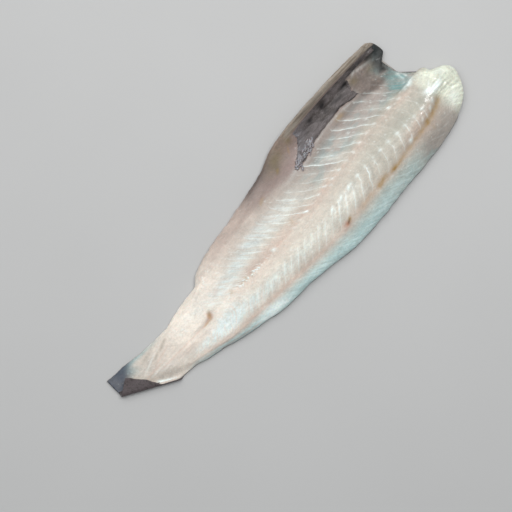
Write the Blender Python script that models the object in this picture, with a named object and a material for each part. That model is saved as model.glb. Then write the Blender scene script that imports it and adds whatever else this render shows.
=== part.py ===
"""One side of salted dried cod, soaked and lying skin down, with a folded tail corner.

Lengths are in millimetres along the side from the tail cut, across it towards the belly, and up from
the surface it lies on. The meshes are made in metres, with the origin under the middle of the side.
"""

import math

import bmesh
import bpy
import numpy as np

MM = 0.001

# Where the origin lies, from the tail cut and from the backbone side of the mid line
ORIGIN_ALONG = 259.85
ORIGIN_ACROSS = 11.9

# Ends of the side along its mid line
TAIL = -3.0
HEAD = 505.0

# Layers
SKIN_THICK = 1.2
LAYER_GAP = 0.3
LINING_THICK = 0.8
FLESH_BASE = SKIN_THICK + LAYER_GAP

# Long lines of the side, as pairs of distance along and distance across
BACK_EDGE = (
    (-3, -21.3), (8, -23.2), (18, -24.4), (30, -24), (37, -23.4), (45, -27.4),
    (52, -31.2), (80, -33), (92, -36.6), (118, -42), (144, -48.8), (170, -53.4),
    (200, -58.3), (235, -58.6), (267, -61.5), (304, -65.6), (340, -64), (389, -58.4),
    (437, -54.2), (472, -48.2), (486, -43.6),
)
PIN_LINE = (
    (-3, -18.2), (65, -26), (96, -31.4), (141, -40.4), (197, -42), (272, -44.1),
    (312, -42.8), (341, -39.2), (368, -36), (393, -34.8), (415, -31.7), (440, -27.1),
    (458, -23.9), (472, -19.4), (484, -13),
)
BAND_LINE = (
    (-3, -10.5), (65, -16.6), (116, -19.7), (208, -22), (241, -21.5), (273, -19.9),
    (308, -18.7), (324, -16.2), (338, -14.2), (353, -12.3), (366, -11.1), (392, -9.9),
    (419, -9.8), (474, -10),
)
MID_LINE = (
    (-3, -4.5), (29, -8.5), (65, -9.7), (116, -9.6), (135, -5.5), (197, -5.1),
    (232, -4.6), (258, -3.6), (276, -1.4), (298, 0.8), (319, 4.8), (343, 7.5),
    (357, 9.2), (374, 11.2), (388, 13.8), (399, 15.6), (415, 16.5), (440, 17.1),
    (475, 17.1),
)
WALL_LINE = (
    (-3, 15), (64, 12), (119, 18.8), (155, 29.8), (198, 36.8), (262, 41.8),
    (318, 41.2), (338, 45.3), (362, 52.5), (397, 55), (423, 53), (449, 49.5),
    (479, 42.7),
)
BELLY_EDGE = (
    (-3, 24.6), (22, 22.9), (51, 19.7), (82, 19.2), (99, 23.4), (124, 27.8),
    (140, 30.2), (149, 37.6), (157, 41.8), (175, 47.4), (219, 55.4), (261, 63.8),
    (286, 70), (306, 78.6), (328, 82.8), (389, 87.8), (437, 89.3), (478, 89.4),
)

# Share of the width at which each long line lies, from the back edge to the belly edge
SHARE_PIN = 0.20
SHARE_BAND = 0.36
SHARE_MID = 0.50
SHARE_WALL = 0.72

# Head end, as share of the width with distance along and distance across
HEAD_CUT = (
    (0, 486, -43.6), (0.05, 498.3, -37.6), (0.11, 510.5, -29.1), (0.2, 520.3, -12.1), (0.25, 522.7, -3.5),
    (0.3, 521.5, 2.6), (0.36, 515.4, 9.3), (0.41, 508, 12.8), (0.45, 501, 16.5), (0.475, 499.2, 21.5),
    (0.5, 493.5, 24.8), (0.525, 487, 23.4), (0.56, 484, 27.5), (0.6, 481.3, 33), (0.66, 475.2, 42.8),
    (0.72, 469.1, 51.3), (0.76, 467.5, 58), (0.8, 473.5, 63.5), (0.86, 481.9, 71), (0.91, 480.5, 78.5),
    (0.95, 478, 84), (1, 471, 89.4),
)

# Thickness of the flesh at its crest along the side, and its share of that across the side
CREST = (
    (-3, 1.8), (20, 2.6), (50, 5), (90, 8.5), (130, 12), (175, 15.5), (220, 19),
    (270, 22), (320, 24.5), (370, 26), (420, 27), (460, 26.5), (490, 24.5), (523, 21),
)
REAR_PROFILE = (
    (0, 0.34), (0.05, 0.4), (0.11, 0.5), (0.2, 0.7), (0.3, 0.92), (0.36, 0.98), (0.43, 1),
    (0.5, 0.965), (0.6, 0.93), (0.72, 0.8), (0.86, 0.58), (0.95, 0.44), (1, 0.36),
)
FRONT_PROFILE = (
    (0, 0.26), (0.05, 0.36), (0.11, 0.5), (0.2, 0.76), (0.3, 0.97), (0.36, 1), (0.43, 0.96),
    (0.5, 0.86), (0.6, 0.7), (0.72, 0.42), (0.86, 0.25), (0.95, 0.27), (1, 0.27),
)
NAPE_THICK = 4.0
NAPE_LOBE = 2.2
CORNER_THICK = 1.8

# Belly flap, which curls up along its free edge
CURL_WIDTH = 27.0
CURL_RISE = 15.0

# Muscle flakes between their white sheets
TAIL_FLAKE = 7.5
HEAD_FLAKE = 14.4
FLAKE_DEPTH = 0.7
PIN_GROOVE = 0.7
MID_GROOVE = 0.45
FLAKE_ACROSS = (
    (0, 0.15), (0.1, 0.3), (0.2, 0.5), (0.28, 0.9), (0.34, 0.8), (0.37, 0.15), (0.48, 0.15),
    (0.52, 0.9), (0.6, 1), (0.7, 0.7), (0.76, 0.08), (1, 0.05),
)
FLAKE_ALONG = (
    (-3, 0.1), (90, 0.2), (170, 0.3), (250, 0.55), (320, 0.95), (440, 0.95), (480, 0.6), (505, 0.3),
)

# Folded tail corner: two points of its outer edge, the inner radius and the turn in degrees
FOLD_FROM = (1.5, -2.8)
FOLD_TO = (45.0, -26.5)
FOLD_INNER = 0.5
FOLD_TURN = 174.0
FOLD_STEPS = 9

# Rows across the side, for the upper face and for the under face
UPPER_ROWS = (
    0.0, 0.02, 0.05, 0.11, 0.20, 0.25, 0.30, 0.36, 0.41, 0.45, 0.475, 0.50, 0.525, 0.56, 0.60, 0.66,
    0.72, 0.76, 0.80, 0.84, 0.89, 0.925, 0.97, 0.993, 1.0,
)
UNDER_ROWS = (
    0.012, 0.05, 0.11, 0.18, 0.25, 0.32, 0.40, 0.46, 0.50, 0.56, 0.63, 0.72, 0.80, 0.88, 0.94, 0.988,
)
UNDER_INSET = 1.2

# Dark lining of the belly wall: its rows with where each starts, where the wide part and the strip end
LINING_ROWS = (
    (0.72, 317.0), (0.76, 319.0), (0.80, 329.0), (0.84, 337.0), (0.89, 339.5), (0.925, 341.0),
)
LINING_WIDE_END = 415.0
LINING_STRIP_END = 470.0
LINING_WIDE_PARTS = 30
LINING_STRIP_PARTS = 14
LINING_RECESS = 0.8


def smooth(low, high, value):
    """Soft step from 0 at low to 1 at high."""
    u = np.clip((np.asarray(value, float) - low) / (high - low), 0.0, 1.0)
    return u * u * (3.0 - 2.0 * u)


def through(knots, value):
    """Curve through the knots that never swings past them."""
    xs = np.array([knot[0] for knot in knots], float)
    ys = np.array([knot[1] for knot in knots], float)
    step = np.diff(xs)
    rise = np.diff(ys) / step
    slope = np.zeros_like(ys)
    slope[0] = rise[0]
    slope[-1] = rise[-1]
    first = 2.0 * step[1:] + step[:-1]
    second = step[1:] + 2.0 * step[:-1]
    same = rise[:-1] * rise[1:] > 0.0
    safe_low = np.where(same, rise[:-1], 1.0)
    safe_high = np.where(same, rise[1:], 1.0)
    slope[1:-1] = np.where(same, (first + second) / (first / safe_low + second / safe_high), 0.0)
    value = np.clip(np.asarray(value, float), xs[0], xs[-1])
    i = np.clip(np.searchsorted(xs, value, side="right") - 1, 0, len(xs) - 2)
    u = (value - xs[i]) / step[i]
    keep = (1.0 + 2.0 * u) * (1.0 - u) ** 2 * ys[i] + u * u * (3.0 - 2.0 * u) * ys[i + 1]
    bend = u * (1.0 - u) ** 2 * slope[i] - u * u * (1.0 - u) * slope[i + 1]
    return keep + bend * step[i]


def across(along, share):
    """Distance across the side of a share of its width."""
    lines = (BACK_EDGE, PIN_LINE, BAND_LINE, MID_LINE, WALL_LINE, BELLY_EDGE)
    shares = (0.0, SHARE_PIN, SHARE_BAND, SHARE_MID, SHARE_WALL, 1.0)
    levels = [through(line, along) for line in lines]
    found = levels[0]
    for k in range(5):
        part = np.clip((share - shares[k]) / (shares[k + 1] - shares[k]), 0.0, 1.0)
        found = found + part * (levels[k + 1] - levels[k])
    return found


def rake(middle, share):
    """How far a white sheet lies behind the place where it meets the mid line."""
    level = across(middle, share)
    mid = through(MID_LINE, middle)
    band = through(BAND_LINE, middle)
    pin = through(PIN_LINE, middle)
    up = np.clip(level - mid, 0.0, 34.0)
    belly = 1.36 * up - 0.008 * up * up
    down = np.clip(band - level, 0.0, None)
    down = np.minimum(down, band - pin)
    front = smooth(290.0, 400.0, middle)
    back = front * 0.015 * down * down + (1.0 - front) * 0.88 * down
    edge = np.clip(pin - level, 0.0, None)
    swept = belly + back - 1.2 * edge
    return swept * smooth(TAIL, 85.0, middle) * (1.0 - smooth(415.0, HEAD, middle))


def place(middle, share):
    """Distances along and across of a point, from its place on the mid line and its share of the width."""
    end_along = through([(k[0], k[1]) for k in HEAD_CUT], share)
    end_across = through([(k[0], k[2]) for k in HEAD_CUT], share)
    u = (middle - TAIL) / (HEAD - TAIL)
    along = TAIL + u * (end_along - TAIL) - rake(middle, share)
    level = across(along, share)
    level = level + smooth(0.86, 1.0, u) * (end_across - across(end_along, share))
    return along, level


def curl(along, level):
    """Height and slope of the under face of the flesh where the belly flap curls up."""
    edge = through(BELLY_EDGE, along)
    reach = smooth(292.0, 345.0, along) * (1.0 - 0.35 * smooth(450.0, 482.0, along))
    u = np.clip((level - edge + CURL_WIDTH) / CURL_WIDTH, 0.0, 1.05)
    return CURL_RISE * reach * u * u, CURL_RISE * reach * 2.0 * u / CURL_WIDTH


def rounded(distance, radius, least):
    """Share of the thickness at a distance from a rounded edge."""
    u = np.clip(distance / radius, 0.0, 1.0)
    return least + (1.0 - least) * np.sqrt(1.0 - (1.0 - u) ** 2)


def past_fold(along, level):
    """Distance beyond the outer edge of the fold, towards the tail corner."""
    run = np.array(FOLD_TO) - np.array(FOLD_FROM)
    run = run / np.hypot(run[0], run[1])
    return (along - FOLD_FROM[0]) * run[1] - (level - FOLD_FROM[1]) * run[0]


def flake_start(count):
    """Place on the mid line where a flake starts."""
    growth = (HEAD_FLAKE - TAIL_FLAKE) / (HEAD - TAIL)
    return TAIL + TAIL_FLAKE * (np.exp(growth * count) - 1.0) / growth


def flake_count(middle):
    """Number of flakes, with its fraction, from the tail to a place on the mid line."""
    growth = (HEAD_FLAKE - TAIL_FLAKE) / (HEAD - TAIL)
    return np.log(1.0 + growth * (middle - TAIL) / TAIL_FLAKE) / growth


def wall_cover(along, share):
    """1 where the dark lining covers the belly wall."""
    start = through(LINING_ROWS, share)
    return smooth(start - 7.0, start - 1.0, along) * (1.0 - smooth(419.0, 424.0, along))


def flesh_thickness(middle, share, along, level):
    """Thickness of the flesh with its rounded edges and its flakes."""
    front = smooth(230.0, 350.0, along)
    profile = (1.0 - front) * through(REAR_PROFILE, share) + front * through(FRONT_PROFILE, share)
    thick = through(CREST, along) * profile
    nape = smooth(436.0, 478.0, along) * smooth(0.50, 0.60, share)
    thick = thick + nape * (NAPE_THICK - thick)
    corner = smooth(-16.0, -4.0, past_fold(along, level))
    thick = thick + corner * (CORNER_THICK - thick)
    sheet = 1.0 - corner

    wall = wall_cover(along, share)
    phase = flake_count(middle) % 1.0
    pillow = 1.0 - np.abs(2.0 * phase - 1.0) ** 2.5 + 0.25 * (phase - 0.5)
    amount = through(FLAKE_ACROSS, share) * through(FLAKE_ALONG, middle)
    amount = amount * (1.0 - wall * smooth(0.66, 0.715, share))
    relief = FLAKE_DEPTH * amount * (pillow - 0.6)
    pin = through(PIN_LINE, along)
    mid = through(MID_LINE, along)
    relief = relief - PIN_GROOVE * np.exp(-(((level - pin) / 3.0) ** 2)) * smooth(60.0, 130.0, along)
    relief = relief - MID_GROOVE * np.exp(-(((level - mid) / 2.2) ** 2)) * smooth(50.0, 90.0, along)
    relief = relief + 0.45 * np.sin(along / 19.0 + 0.7) * np.sin(level / 13.0 + 0.3)
    lobe = smooth(421.0, 427.0, along) * (1.0 - smooth(446.0, 470.0, along))
    relief = relief + NAPE_LOBE * lobe * smooth(0.68, 0.74, share) * (1.0 - smooth(0.84, 0.905, share))
    relief = relief - LINING_RECESS * wall * smooth(0.715, 0.74, share) * (1.0 - smooth(0.93, 0.955, share))
    thick = np.maximum(thick + relief * sheet, 1.2)

    end_along = through([(k[0], k[1]) for k in HEAD_CUT], share)
    back_radius = through(((-3, 1.5), (150, 3.5), (350, 7.0), (500, 9.0)), along)
    belly_radius = through(((-3, 1.5), (250, 4.0), (340, 4.5), (500, 4.0)), along)
    belly_least = 0.45 - 0.33 * smooth(300.0, 345.0, along)
    head_radius = through(((0.0, 5.0), (0.11, 16.0), (0.2, 22.0), (0.3, 24.0), (0.42, 16.0), (0.5, 8.0),
                           (0.6, 3.0), (1.0, 3.0)), share)
    thick = thick * rounded(level - through(BACK_EDGE, along), back_radius, 0.45)
    thick = thick * rounded(through(BELLY_EDGE, along) - level, belly_radius, belly_least)
    thick = thick * rounded(end_along - along, head_radius, 0.36)
    return thick * rounded(along - TAIL, 1.5, 0.6)


def upper_point(middle, share):
    """Points of the upper face of the flesh."""
    along, level = place(middle, share)
    lift, _ = curl(along, level)
    height = FLESH_BASE + lift + flesh_thickness(middle, share, along, level)
    return np.stack([along, level, height], axis=-1)


def under_point(middle, share, depth):
    """Points at a depth under the lower face of the flesh."""
    along, level = place(middle, share)
    lift, slope = curl(along, level)
    height = FLESH_BASE + lift - depth * np.sqrt(1.0 + slope * slope)
    return np.stack([along, level, height], axis=-1)


def upper_columns():
    """Places on the mid line of the columns of the upper face: more to a flake in the front."""
    places = []
    total = int(math.floor(float(flake_count(HEAD))))
    for k in range(total):
        start = float(flake_start(k))
        parts = (0.0, 0.22, 0.5, 0.8) if start > 255.0 else (0.0, 0.28, 0.68)
        for part in parts:
            places.append(float(flake_start(k + part)))
    places.append(0.5 * (places[-1] + HEAD))
    places.append(HEAD - 1.5)
    places.append(HEAD)
    places.insert(1, TAIL + 1.2)
    return np.array(places)


def under_columns():
    """Places on the mid line of the columns of the under face: fewer in the even middle of the side."""
    total = int(math.floor(float(flake_count(HEAD))))
    places = [TAIL + UNDER_INSET]
    for k in range(1, total):
        start = float(flake_start(k))
        if k % 2 == 1 or start < 180.0 or start > 420.0:
            places.append(start)
    places.append(HEAD - 9.0)
    places.append(HEAD - UNDER_INSET)
    return np.array(places)


class Body:
    """Vertices and triangles of one closed body."""

    def __init__(self):
        self.points = []
        self.faces = []

    def grid(self, points, upwards):
        """Adds a grid of points as a sheet and gives its vertex numbers."""
        rows, columns = points.shape[:2]
        start = len(self.points)
        self.points.extend(points.reshape(-1, 3).tolist())
        index = start + np.arange(rows * columns).reshape(rows, columns)
        for i in range(rows - 1):
            for j in range(columns - 1):
                self.quad(index[i, j], index[i + 1, j], index[i + 1, j + 1], index[i, j + 1], upwards)
        return index

    def quad(self, a, b, c, d, keep):
        if keep:
            self.faces.append((a, b, c))
            self.faces.append((a, c, d))
        else:
            self.faces.append((a, c, b))
            self.faces.append((a, d, c))

    def zip_rows(self, one, one_at, two, two_at):
        """Joins two rows of vertices whose places run from 0 to 1."""
        i = 0
        j = 0
        while i < len(one) - 1 or j < len(two) - 1:
            step_one = j == len(two) - 1 or (i < len(one) - 1 and one_at[i + 1] <= two_at[j + 1])
            if step_one:
                self.faces.append((one[i], two[j], one[i + 1]))
                i += 1
            else:
                self.faces.append((one[i], two[j], two[j + 1]))
                j += 1

    def rim(self, upper, lower, columns_at, lower_columns_at, rows_at, lower_rows_at):
        """Closes the body between the edges of its upper and lower sheets."""
        last = len(rows_at) - 1
        lower_last = len(lower_rows_at) - 1
        self.zip_rows(upper[:, 0], columns_at, lower[:, 0], lower_columns_at)
        self.zip_rows(upper[-1, :], rows_at, lower[-1, :], lower_rows_at)
        self.zip_rows(upper[::-1, last], 1.0 - columns_at[::-1], lower[::-1, lower_last],
                      1.0 - lower_columns_at[::-1])
        self.zip_rows(upper[0, ::-1], 1.0 - rows_at[::-1], lower[0, ::-1], 1.0 - lower_rows_at[::-1])

    def mesh(self):
        """The body as a mesh that is still to be folded."""
        mesh = bmesh.new()
        made = [mesh.verts.new(point) for point in self.points]
        for face in self.faces:
            mesh.faces.new([made[k] for k in face])
        return mesh


def fold_corner(mesh, reference):
    """Rolls the tail corner up and over along its fold."""
    run = np.array(FOLD_TO) - np.array(FOLD_FROM)
    run = run / np.hypot(run[0], run[1])
    out = np.array([run[1], -run[0]])
    top = FLESH_BASE + CORNER_THICK
    axis_height = top + FOLD_INNER
    radius = axis_height - reference
    start = -axis_height
    turn = math.radians(FOLD_TURN)
    for k in range(FOLD_STEPS + 1):
        reach = start + radius * turn * k / FOLD_STEPS
        at = np.array(FOLD_FROM) + out * reach
        geometry = mesh.verts[:] + mesh.edges[:] + mesh.faces[:]
        bmesh.ops.bisect_plane(mesh, geom=geometry, dist=0.02, plane_co=(at[0], at[1], 0.0),
                               plane_no=(out[0], out[1], 0.0))
    bmesh.ops.triangulate(mesh, faces=[face for face in mesh.faces if len(face.verts) > 3])
    for vertex in mesh.verts:
        flat = np.array([vertex.co.x, vertex.co.y])
        reach = float((flat - np.array(FOLD_FROM)) @ out) - start
        if reach <= 0.0:
            continue
        angle = min(reach / radius, turn)
        rest = reach - angle * radius
        arm = axis_height - vertex.co.z
        moved = arm * math.sin(angle) + rest * math.cos(angle)
        shift = moved - reach
        vertex.co.x += out[0] * shift
        vertex.co.y += out[1] * shift
        vertex.co.z = axis_height - arm * math.cos(angle) + rest * math.sin(angle)


def solid(name, body, material, folded):
    """Makes the object of one sub-part."""
    mesh = body.mesh()
    if folded:
        fold_corner(mesh, FLESH_BASE)
    for vertex in mesh.verts:
        vertex.co.x = (vertex.co.x - ORIGIN_ALONG) * MM
        vertex.co.y = (vertex.co.y - ORIGIN_ACROSS) * MM
        vertex.co.z = vertex.co.z * MM
    data = bpy.data.meshes.new(name)
    mesh.to_mesh(data)
    mesh.free()
    data.materials.append(material)
    made = bpy.data.objects.new(name, data)
    bpy.context.scene.collection.objects.link(made)
    return made


def material(name, colour, roughness):
    """Plain material of one sub-part."""
    made = bpy.data.materials.new(name)
    made.use_nodes = True
    made.diffuse_color = (*colour, 1.0)
    shader = made.node_tree.nodes["Principled BSDF"]
    shader.inputs["Base Color"].default_value = (*colour, 1.0)
    shader.inputs["Roughness"].default_value = roughness
    return made


def make_flesh(upper, columns, lower_columns, lower_rows):
    """The side of muscle."""
    body = Body()
    top = body.grid(upper, True)
    low = body.grid(under_point(lower_columns[:, None], lower_rows[None, :], 0.0), False)
    span = HEAD - TAIL
    along = (columns - TAIL) / span
    body.rim(top, low, along, fitted(lower_columns), np.array(UPPER_ROWS), fitted(lower_rows))
    return solid("flesh", body, material("flesh", (0.72, 0.62, 0.52), 0.35), True)


def make_skin(lower_columns, lower_rows):
    """The skin under the flesh."""
    body = Body()
    top = body.grid(under_point(lower_columns[:, None], lower_rows[None, :], LAYER_GAP), True)
    low = body.grid(under_point(lower_columns[:, None], lower_rows[None, :], FLESH_BASE), False)
    along = fitted(lower_columns)
    over = fitted(lower_rows)
    body.rim(top, low, along, along, over, over)
    return solid("skin", body, material("skin", (0.20, 0.18, 0.16), 0.4), True)


def fitted(values):
    """The values as places that run from 0 to 1."""
    return (values - values[0]) / (values[-1] - values[0])


def make_lining(upper):
    """The dark lining on the inside of the belly wall, a thin layer over the flesh."""
    rows = list(UPPER_ROWS)
    body = Body()
    found = {}

    def pair(share, along):
        """Numbers of the lower and the upper vertex over a point of the flesh."""
        key = (share, round(along, 3))
        if key not in found:
            row = upper[:, rows.index(share)]
            level = float(np.interp(along, row[:, 0], row[:, 1]))
            height = float(np.interp(along, row[:, 0], row[:, 2])) + LAYER_GAP
            found[key] = (len(body.points), len(body.points) + 1)
            body.points.append([along, level, height])
            body.points.append([along, level, height + LINING_THICK])
        return found[key]

    bands = []
    for k in range(len(LINING_ROWS) - 1):
        bands.append((LINING_ROWS[k], LINING_ROWS[k + 1], LINING_WIDE_END, LINING_WIDE_PARTS))
    strip = [(share, LINING_WIDE_END) for share, _ in LINING_ROWS[-2:]]
    bands.append((strip[0], strip[1], LINING_STRIP_END, LINING_STRIP_PARTS))
    edges = {}
    for (near, near_start), (far, far_start), end, parts in bands:
        for i in range(parts):
            one = i / parts
            two = (i + 1) / parts
            corners = [
                pair(near, near_start + one * (end - near_start)),
                pair(near, near_start + two * (end - near_start)),
                pair(far, far_start + two * (end - far_start)),
                pair(far, far_start + one * (end - far_start)),
            ]
            body.quad(*[corner[0] for corner in corners], False)
            body.quad(*[corner[1] for corner in corners], True)
            for k in range(4):
                side = (corners[k], corners[(k + 1) % 4])
                if (side[1], side[0]) in edges:
                    del edges[side[1], side[0]]
                else:
                    edges[side] = True
    for a, b in edges:
        body.quad(a[0], b[0], b[1], a[1], True)
    return solid("belly_lining", body, material("belly_lining", (0.13, 0.12, 0.12), 0.35), False)


def main():
    for thing in list(bpy.data.objects):
        bpy.data.objects.remove(thing, do_unlink=True)
    columns = upper_columns()
    lower_columns = under_columns()
    lower_rows = np.array(UNDER_ROWS)
    upper = upper_point(columns[:, None], np.array(UPPER_ROWS)[None, :])
    make_flesh(upper, columns, lower_columns, lower_rows)
    make_skin(lower_columns, lower_rows)
    make_lining(upper)


main()
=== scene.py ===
"""Looks of one side of salted dried cod: moist flesh with its flakes, the skin under it, the dark lining
of the belly wall and the torn shreds of that lining, on a pale floor.

Shapes are worked out in millimetres along the side from the tail cut and across it towards the belly.
"""

import math

import bpy
import numpy as np
from mathutils import Matrix, Vector


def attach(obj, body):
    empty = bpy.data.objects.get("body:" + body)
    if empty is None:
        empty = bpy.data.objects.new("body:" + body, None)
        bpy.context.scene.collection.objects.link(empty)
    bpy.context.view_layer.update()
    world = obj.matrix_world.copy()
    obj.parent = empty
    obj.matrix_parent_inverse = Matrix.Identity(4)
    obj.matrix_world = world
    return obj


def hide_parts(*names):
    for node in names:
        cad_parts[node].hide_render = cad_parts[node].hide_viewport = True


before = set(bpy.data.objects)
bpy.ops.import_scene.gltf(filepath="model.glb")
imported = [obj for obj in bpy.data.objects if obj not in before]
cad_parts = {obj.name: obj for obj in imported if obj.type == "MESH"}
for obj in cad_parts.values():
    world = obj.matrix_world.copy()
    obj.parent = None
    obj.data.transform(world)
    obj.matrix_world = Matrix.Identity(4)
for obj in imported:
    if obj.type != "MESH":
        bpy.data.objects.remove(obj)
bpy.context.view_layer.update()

bl_info = {
    "name": "Salted Cod Side",
    "version": (1, 0, 0),
    "blender": (4, 5, 0),
    "location": "3D View > Sidebar > Cod",
    "description": "Dresses the packed side of salted cod with its flesh, skin and lining",
    "category": "Object",
}

MM = 0.001

# Where the frame's origin lies, from the tail cut and from the backbone side of the mid line
ORIGIN_ALONG = 259.85
ORIGIN_ACROSS = 11.9

# Ends of the side along its mid line
TAIL = -3.0
HEAD = 505.0
UNDER_INSET = 1.2
UNDER_DEPTH = 0.25

# Heights of the layers, as the solids have them
FLESH_BASE = 1.5
CORNER_THICK = 1.8

# Long lines of the side, as pairs of distance along and distance across
BACK_EDGE = (
    (-3, -21.3), (8, -23.2), (18, -24.4), (30, -24), (37, -23.4), (45, -27.4),
    (52, -31.2), (80, -33), (92, -36.6), (118, -42), (144, -48.8), (170, -53.4),
    (200, -58.3), (235, -58.6), (267, -61.5), (304, -65.6), (340, -64), (389, -58.4),
    (437, -54.2), (472, -48.2), (486, -43.6),
)
PIN_LINE = (
    (-3, -18.2), (65, -26), (96, -31.4), (141, -40.4), (197, -42), (272, -44.1),
    (312, -42.8), (341, -39.2), (368, -36), (393, -34.8), (415, -31.7), (440, -27.1),
    (458, -23.9), (472, -19.4), (484, -13),
)
BAND_LINE = (
    (-3, -10.5), (65, -16.6), (116, -19.7), (208, -22), (241, -21.5), (273, -19.9),
    (308, -18.7), (324, -16.2), (338, -14.2), (353, -12.3), (366, -11.1), (392, -9.9),
    (419, -9.8), (474, -10),
)
MID_LINE = (
    (-3, -4.5), (29, -8.5), (65, -9.7), (116, -9.6), (135, -5.5), (197, -5.1),
    (232, -4.6), (258, -3.6), (276, -1.4), (298, 0.8), (319, 4.8), (343, 7.5),
    (357, 9.2), (374, 11.2), (388, 13.8), (399, 15.6), (415, 16.5), (440, 17.1),
    (475, 17.1),
)
WALL_LINE = (
    (-3, 15), (64, 12), (119, 18.8), (155, 29.8), (198, 36.8), (262, 41.8),
    (318, 41.2), (338, 45.3), (362, 52.5), (397, 55), (423, 53), (449, 49.5),
    (479, 42.7),
)
BELLY_EDGE = (
    (-3, 24.6), (22, 22.9), (51, 19.7), (82, 19.2), (99, 23.4), (124, 27.8),
    (140, 30.2), (149, 37.6), (157, 41.8), (175, 47.4), (219, 55.4), (261, 63.8),
    (286, 70), (306, 78.6), (328, 82.8), (389, 87.8), (437, 89.3), (478, 89.4),
)

# Share of the width at which each long line lies, from the back edge to the belly edge
SHARE_PIN = 0.2
SHARE_BAND = 0.36
SHARE_MID = 0.5
SHARE_WALL = 0.72

# Head end, as share of the width with distance along and distance across
HEAD_CUT = (
    (0, 486, -43.6), (0.05, 498.3, -37.6), (0.11, 510.5, -29.1), (0.2, 520.3, -12.1), (0.25, 522.7, -3.5),
    (0.3, 521.5, 2.6), (0.36, 515.4, 9.3), (0.41, 508, 12.8), (0.45, 501, 16.5), (0.475, 499.2, 21.5),
    (0.5, 493.5, 24.8), (0.525, 487, 23.4), (0.56, 484, 27.5), (0.6, 481.3, 33), (0.66, 475.2, 42.8),
    (0.72, 469.1, 51.3), (0.76, 467.5, 58), (0.8, 473.5, 63.5), (0.86, 481.9, 71), (0.91, 480.5, 78.5),
    (0.95, 478, 84), (1, 471, 89.4),
)
HEAD_ALONG = tuple(knot[:2] for knot in HEAD_CUT)
HEAD_ACROSS = tuple(knot[::2] for knot in HEAD_CUT)

# Thickness of the flesh at its crest along the side, and its share of that across the side
CREST = (
    (-3, 1.8), (20, 2.6), (50, 5), (90, 8.5), (130, 12), (175, 15.5), (220, 19),
    (270, 22), (320, 24.5), (370, 26), (420, 27), (460, 26.5), (490, 24.5), (523, 21),
)
REAR_PROFILE = (
    (0, 0.34), (0.05, 0.4), (0.11, 0.5), (0.2, 0.7), (0.3, 0.92), (0.36, 0.98), (0.43, 1),
    (0.5, 0.965), (0.6, 0.93), (0.72, 0.8), (0.86, 0.58), (0.95, 0.44), (1, 0.36),
)
FRONT_PROFILE = (
    (0, 0.26), (0.05, 0.36), (0.11, 0.5), (0.2, 0.76), (0.3, 0.97), (0.36, 1), (0.43, 0.96),
    (0.5, 0.86), (0.6, 0.7), (0.72, 0.42), (0.86, 0.25), (0.95, 0.27), (1, 0.27),
)
# Rounding of the back edge and the belly edge along the side, and of the head end across it
BACK_RADIUS = ((-3, 1.5), (150, 3.5), (350, 7), (500, 9))
BELLY_RADIUS = ((-3, 1.5), (250, 4), (340, 4.5), (500, 4))
HEAD_RADIUS = ((0, 5), (0.11, 16), (0.2, 22), (0.3, 24), (0.42, 16), (0.5, 8), (0.6, 3), (1, 3))
# Thin flesh of the nape, its lobe, and the width of the belly flap that curls up
NAPE_THICK = 4
NAPE_LOBE = 2.2
CURL_WIDTH = 27

# Muscle flakes between their white sheets
TAIL_FLAKE = 7.5
HEAD_FLAKE = 14.4
FLAKE_GROWTH = (HEAD_FLAKE - TAIL_FLAKE) / (HEAD - TAIL)
FLAKE_ACROSS = (
    (0, 0.15), (0.1, 0.3), (0.2, 0.5), (0.28, 0.9), (0.34, 0.8), (0.37, 0.15), (0.48, 0.15),
    (0.52, 0.9), (0.6, 1), (0.7, 0.7), (0.76, 0.08), (1, 0.05),
)
FLAKE_ALONG = ((-3, 0.1), (90, 0.2), (170, 0.3), (250, 0.55), (320, 0.95), (440, 0.95), (480, 0.6), (505, 0.3))
FLAKE_OFFSET = -0.127
PIN_GROOVE = 0.7
MID_GROOVE = 0.45

# Folded tail corner: two points of its outer edge and its inner radius
FOLD_FROM = (1.5, -2.8)
FOLD_TO = (45, -26.5)
FOLD_INNER = 0.5
FOLD_WAVE = 0.45
FOLD_RUN = np.subtract(FOLD_TO, FOLD_FROM)
FOLD_OUT = np.array([FOLD_RUN[1], -FOLD_RUN[0]]) / np.hypot(*FOLD_RUN)

# Dark lining: its rows with where each starts, and where the wide part and the strip end
LINING_ROWS = ((0.725, 317), (0.76, 319), (0.8, 329), (0.84, 337), (0.89, 339.5), (0.926, 341))
LINING_WIDE_END = 422
LINING_STRIP_END = 474
LINING_RECESS = 0.8
LINING_UNDERCUT = 0.004
LINING_SUNK = 0.1
LINING_FEW_ROWS = 6

# Columns to a flake, as parts of it, close behind its sheet, and rows across the side
FLAKE_PARTS = (0, 0.03, 0.07, 0.13, 0.21, 0.3, 0.4, 0.5, 0.6, 0.7, 0.79, 0.87, 0.93, 0.97)
EDGE_ROWS = (0, 0.0025, 0.006, 0.011, 0.017, 0.024, 0.032)
INNER_ROWS = 104
SKIN_ROWS = 56
LINING_COLUMNS = 190
LINING_INNER_ROWS = 72
FEW_ROWS = (0.012, 0.08, 0.2, 0.35, 0.5, 0.65, 0.8, 0.92, 0.988)
RIM_LOOPS = 4
INNER_FROM = 0.041
TIP_COLUMNS = 15
HALVINGS = 24

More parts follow.
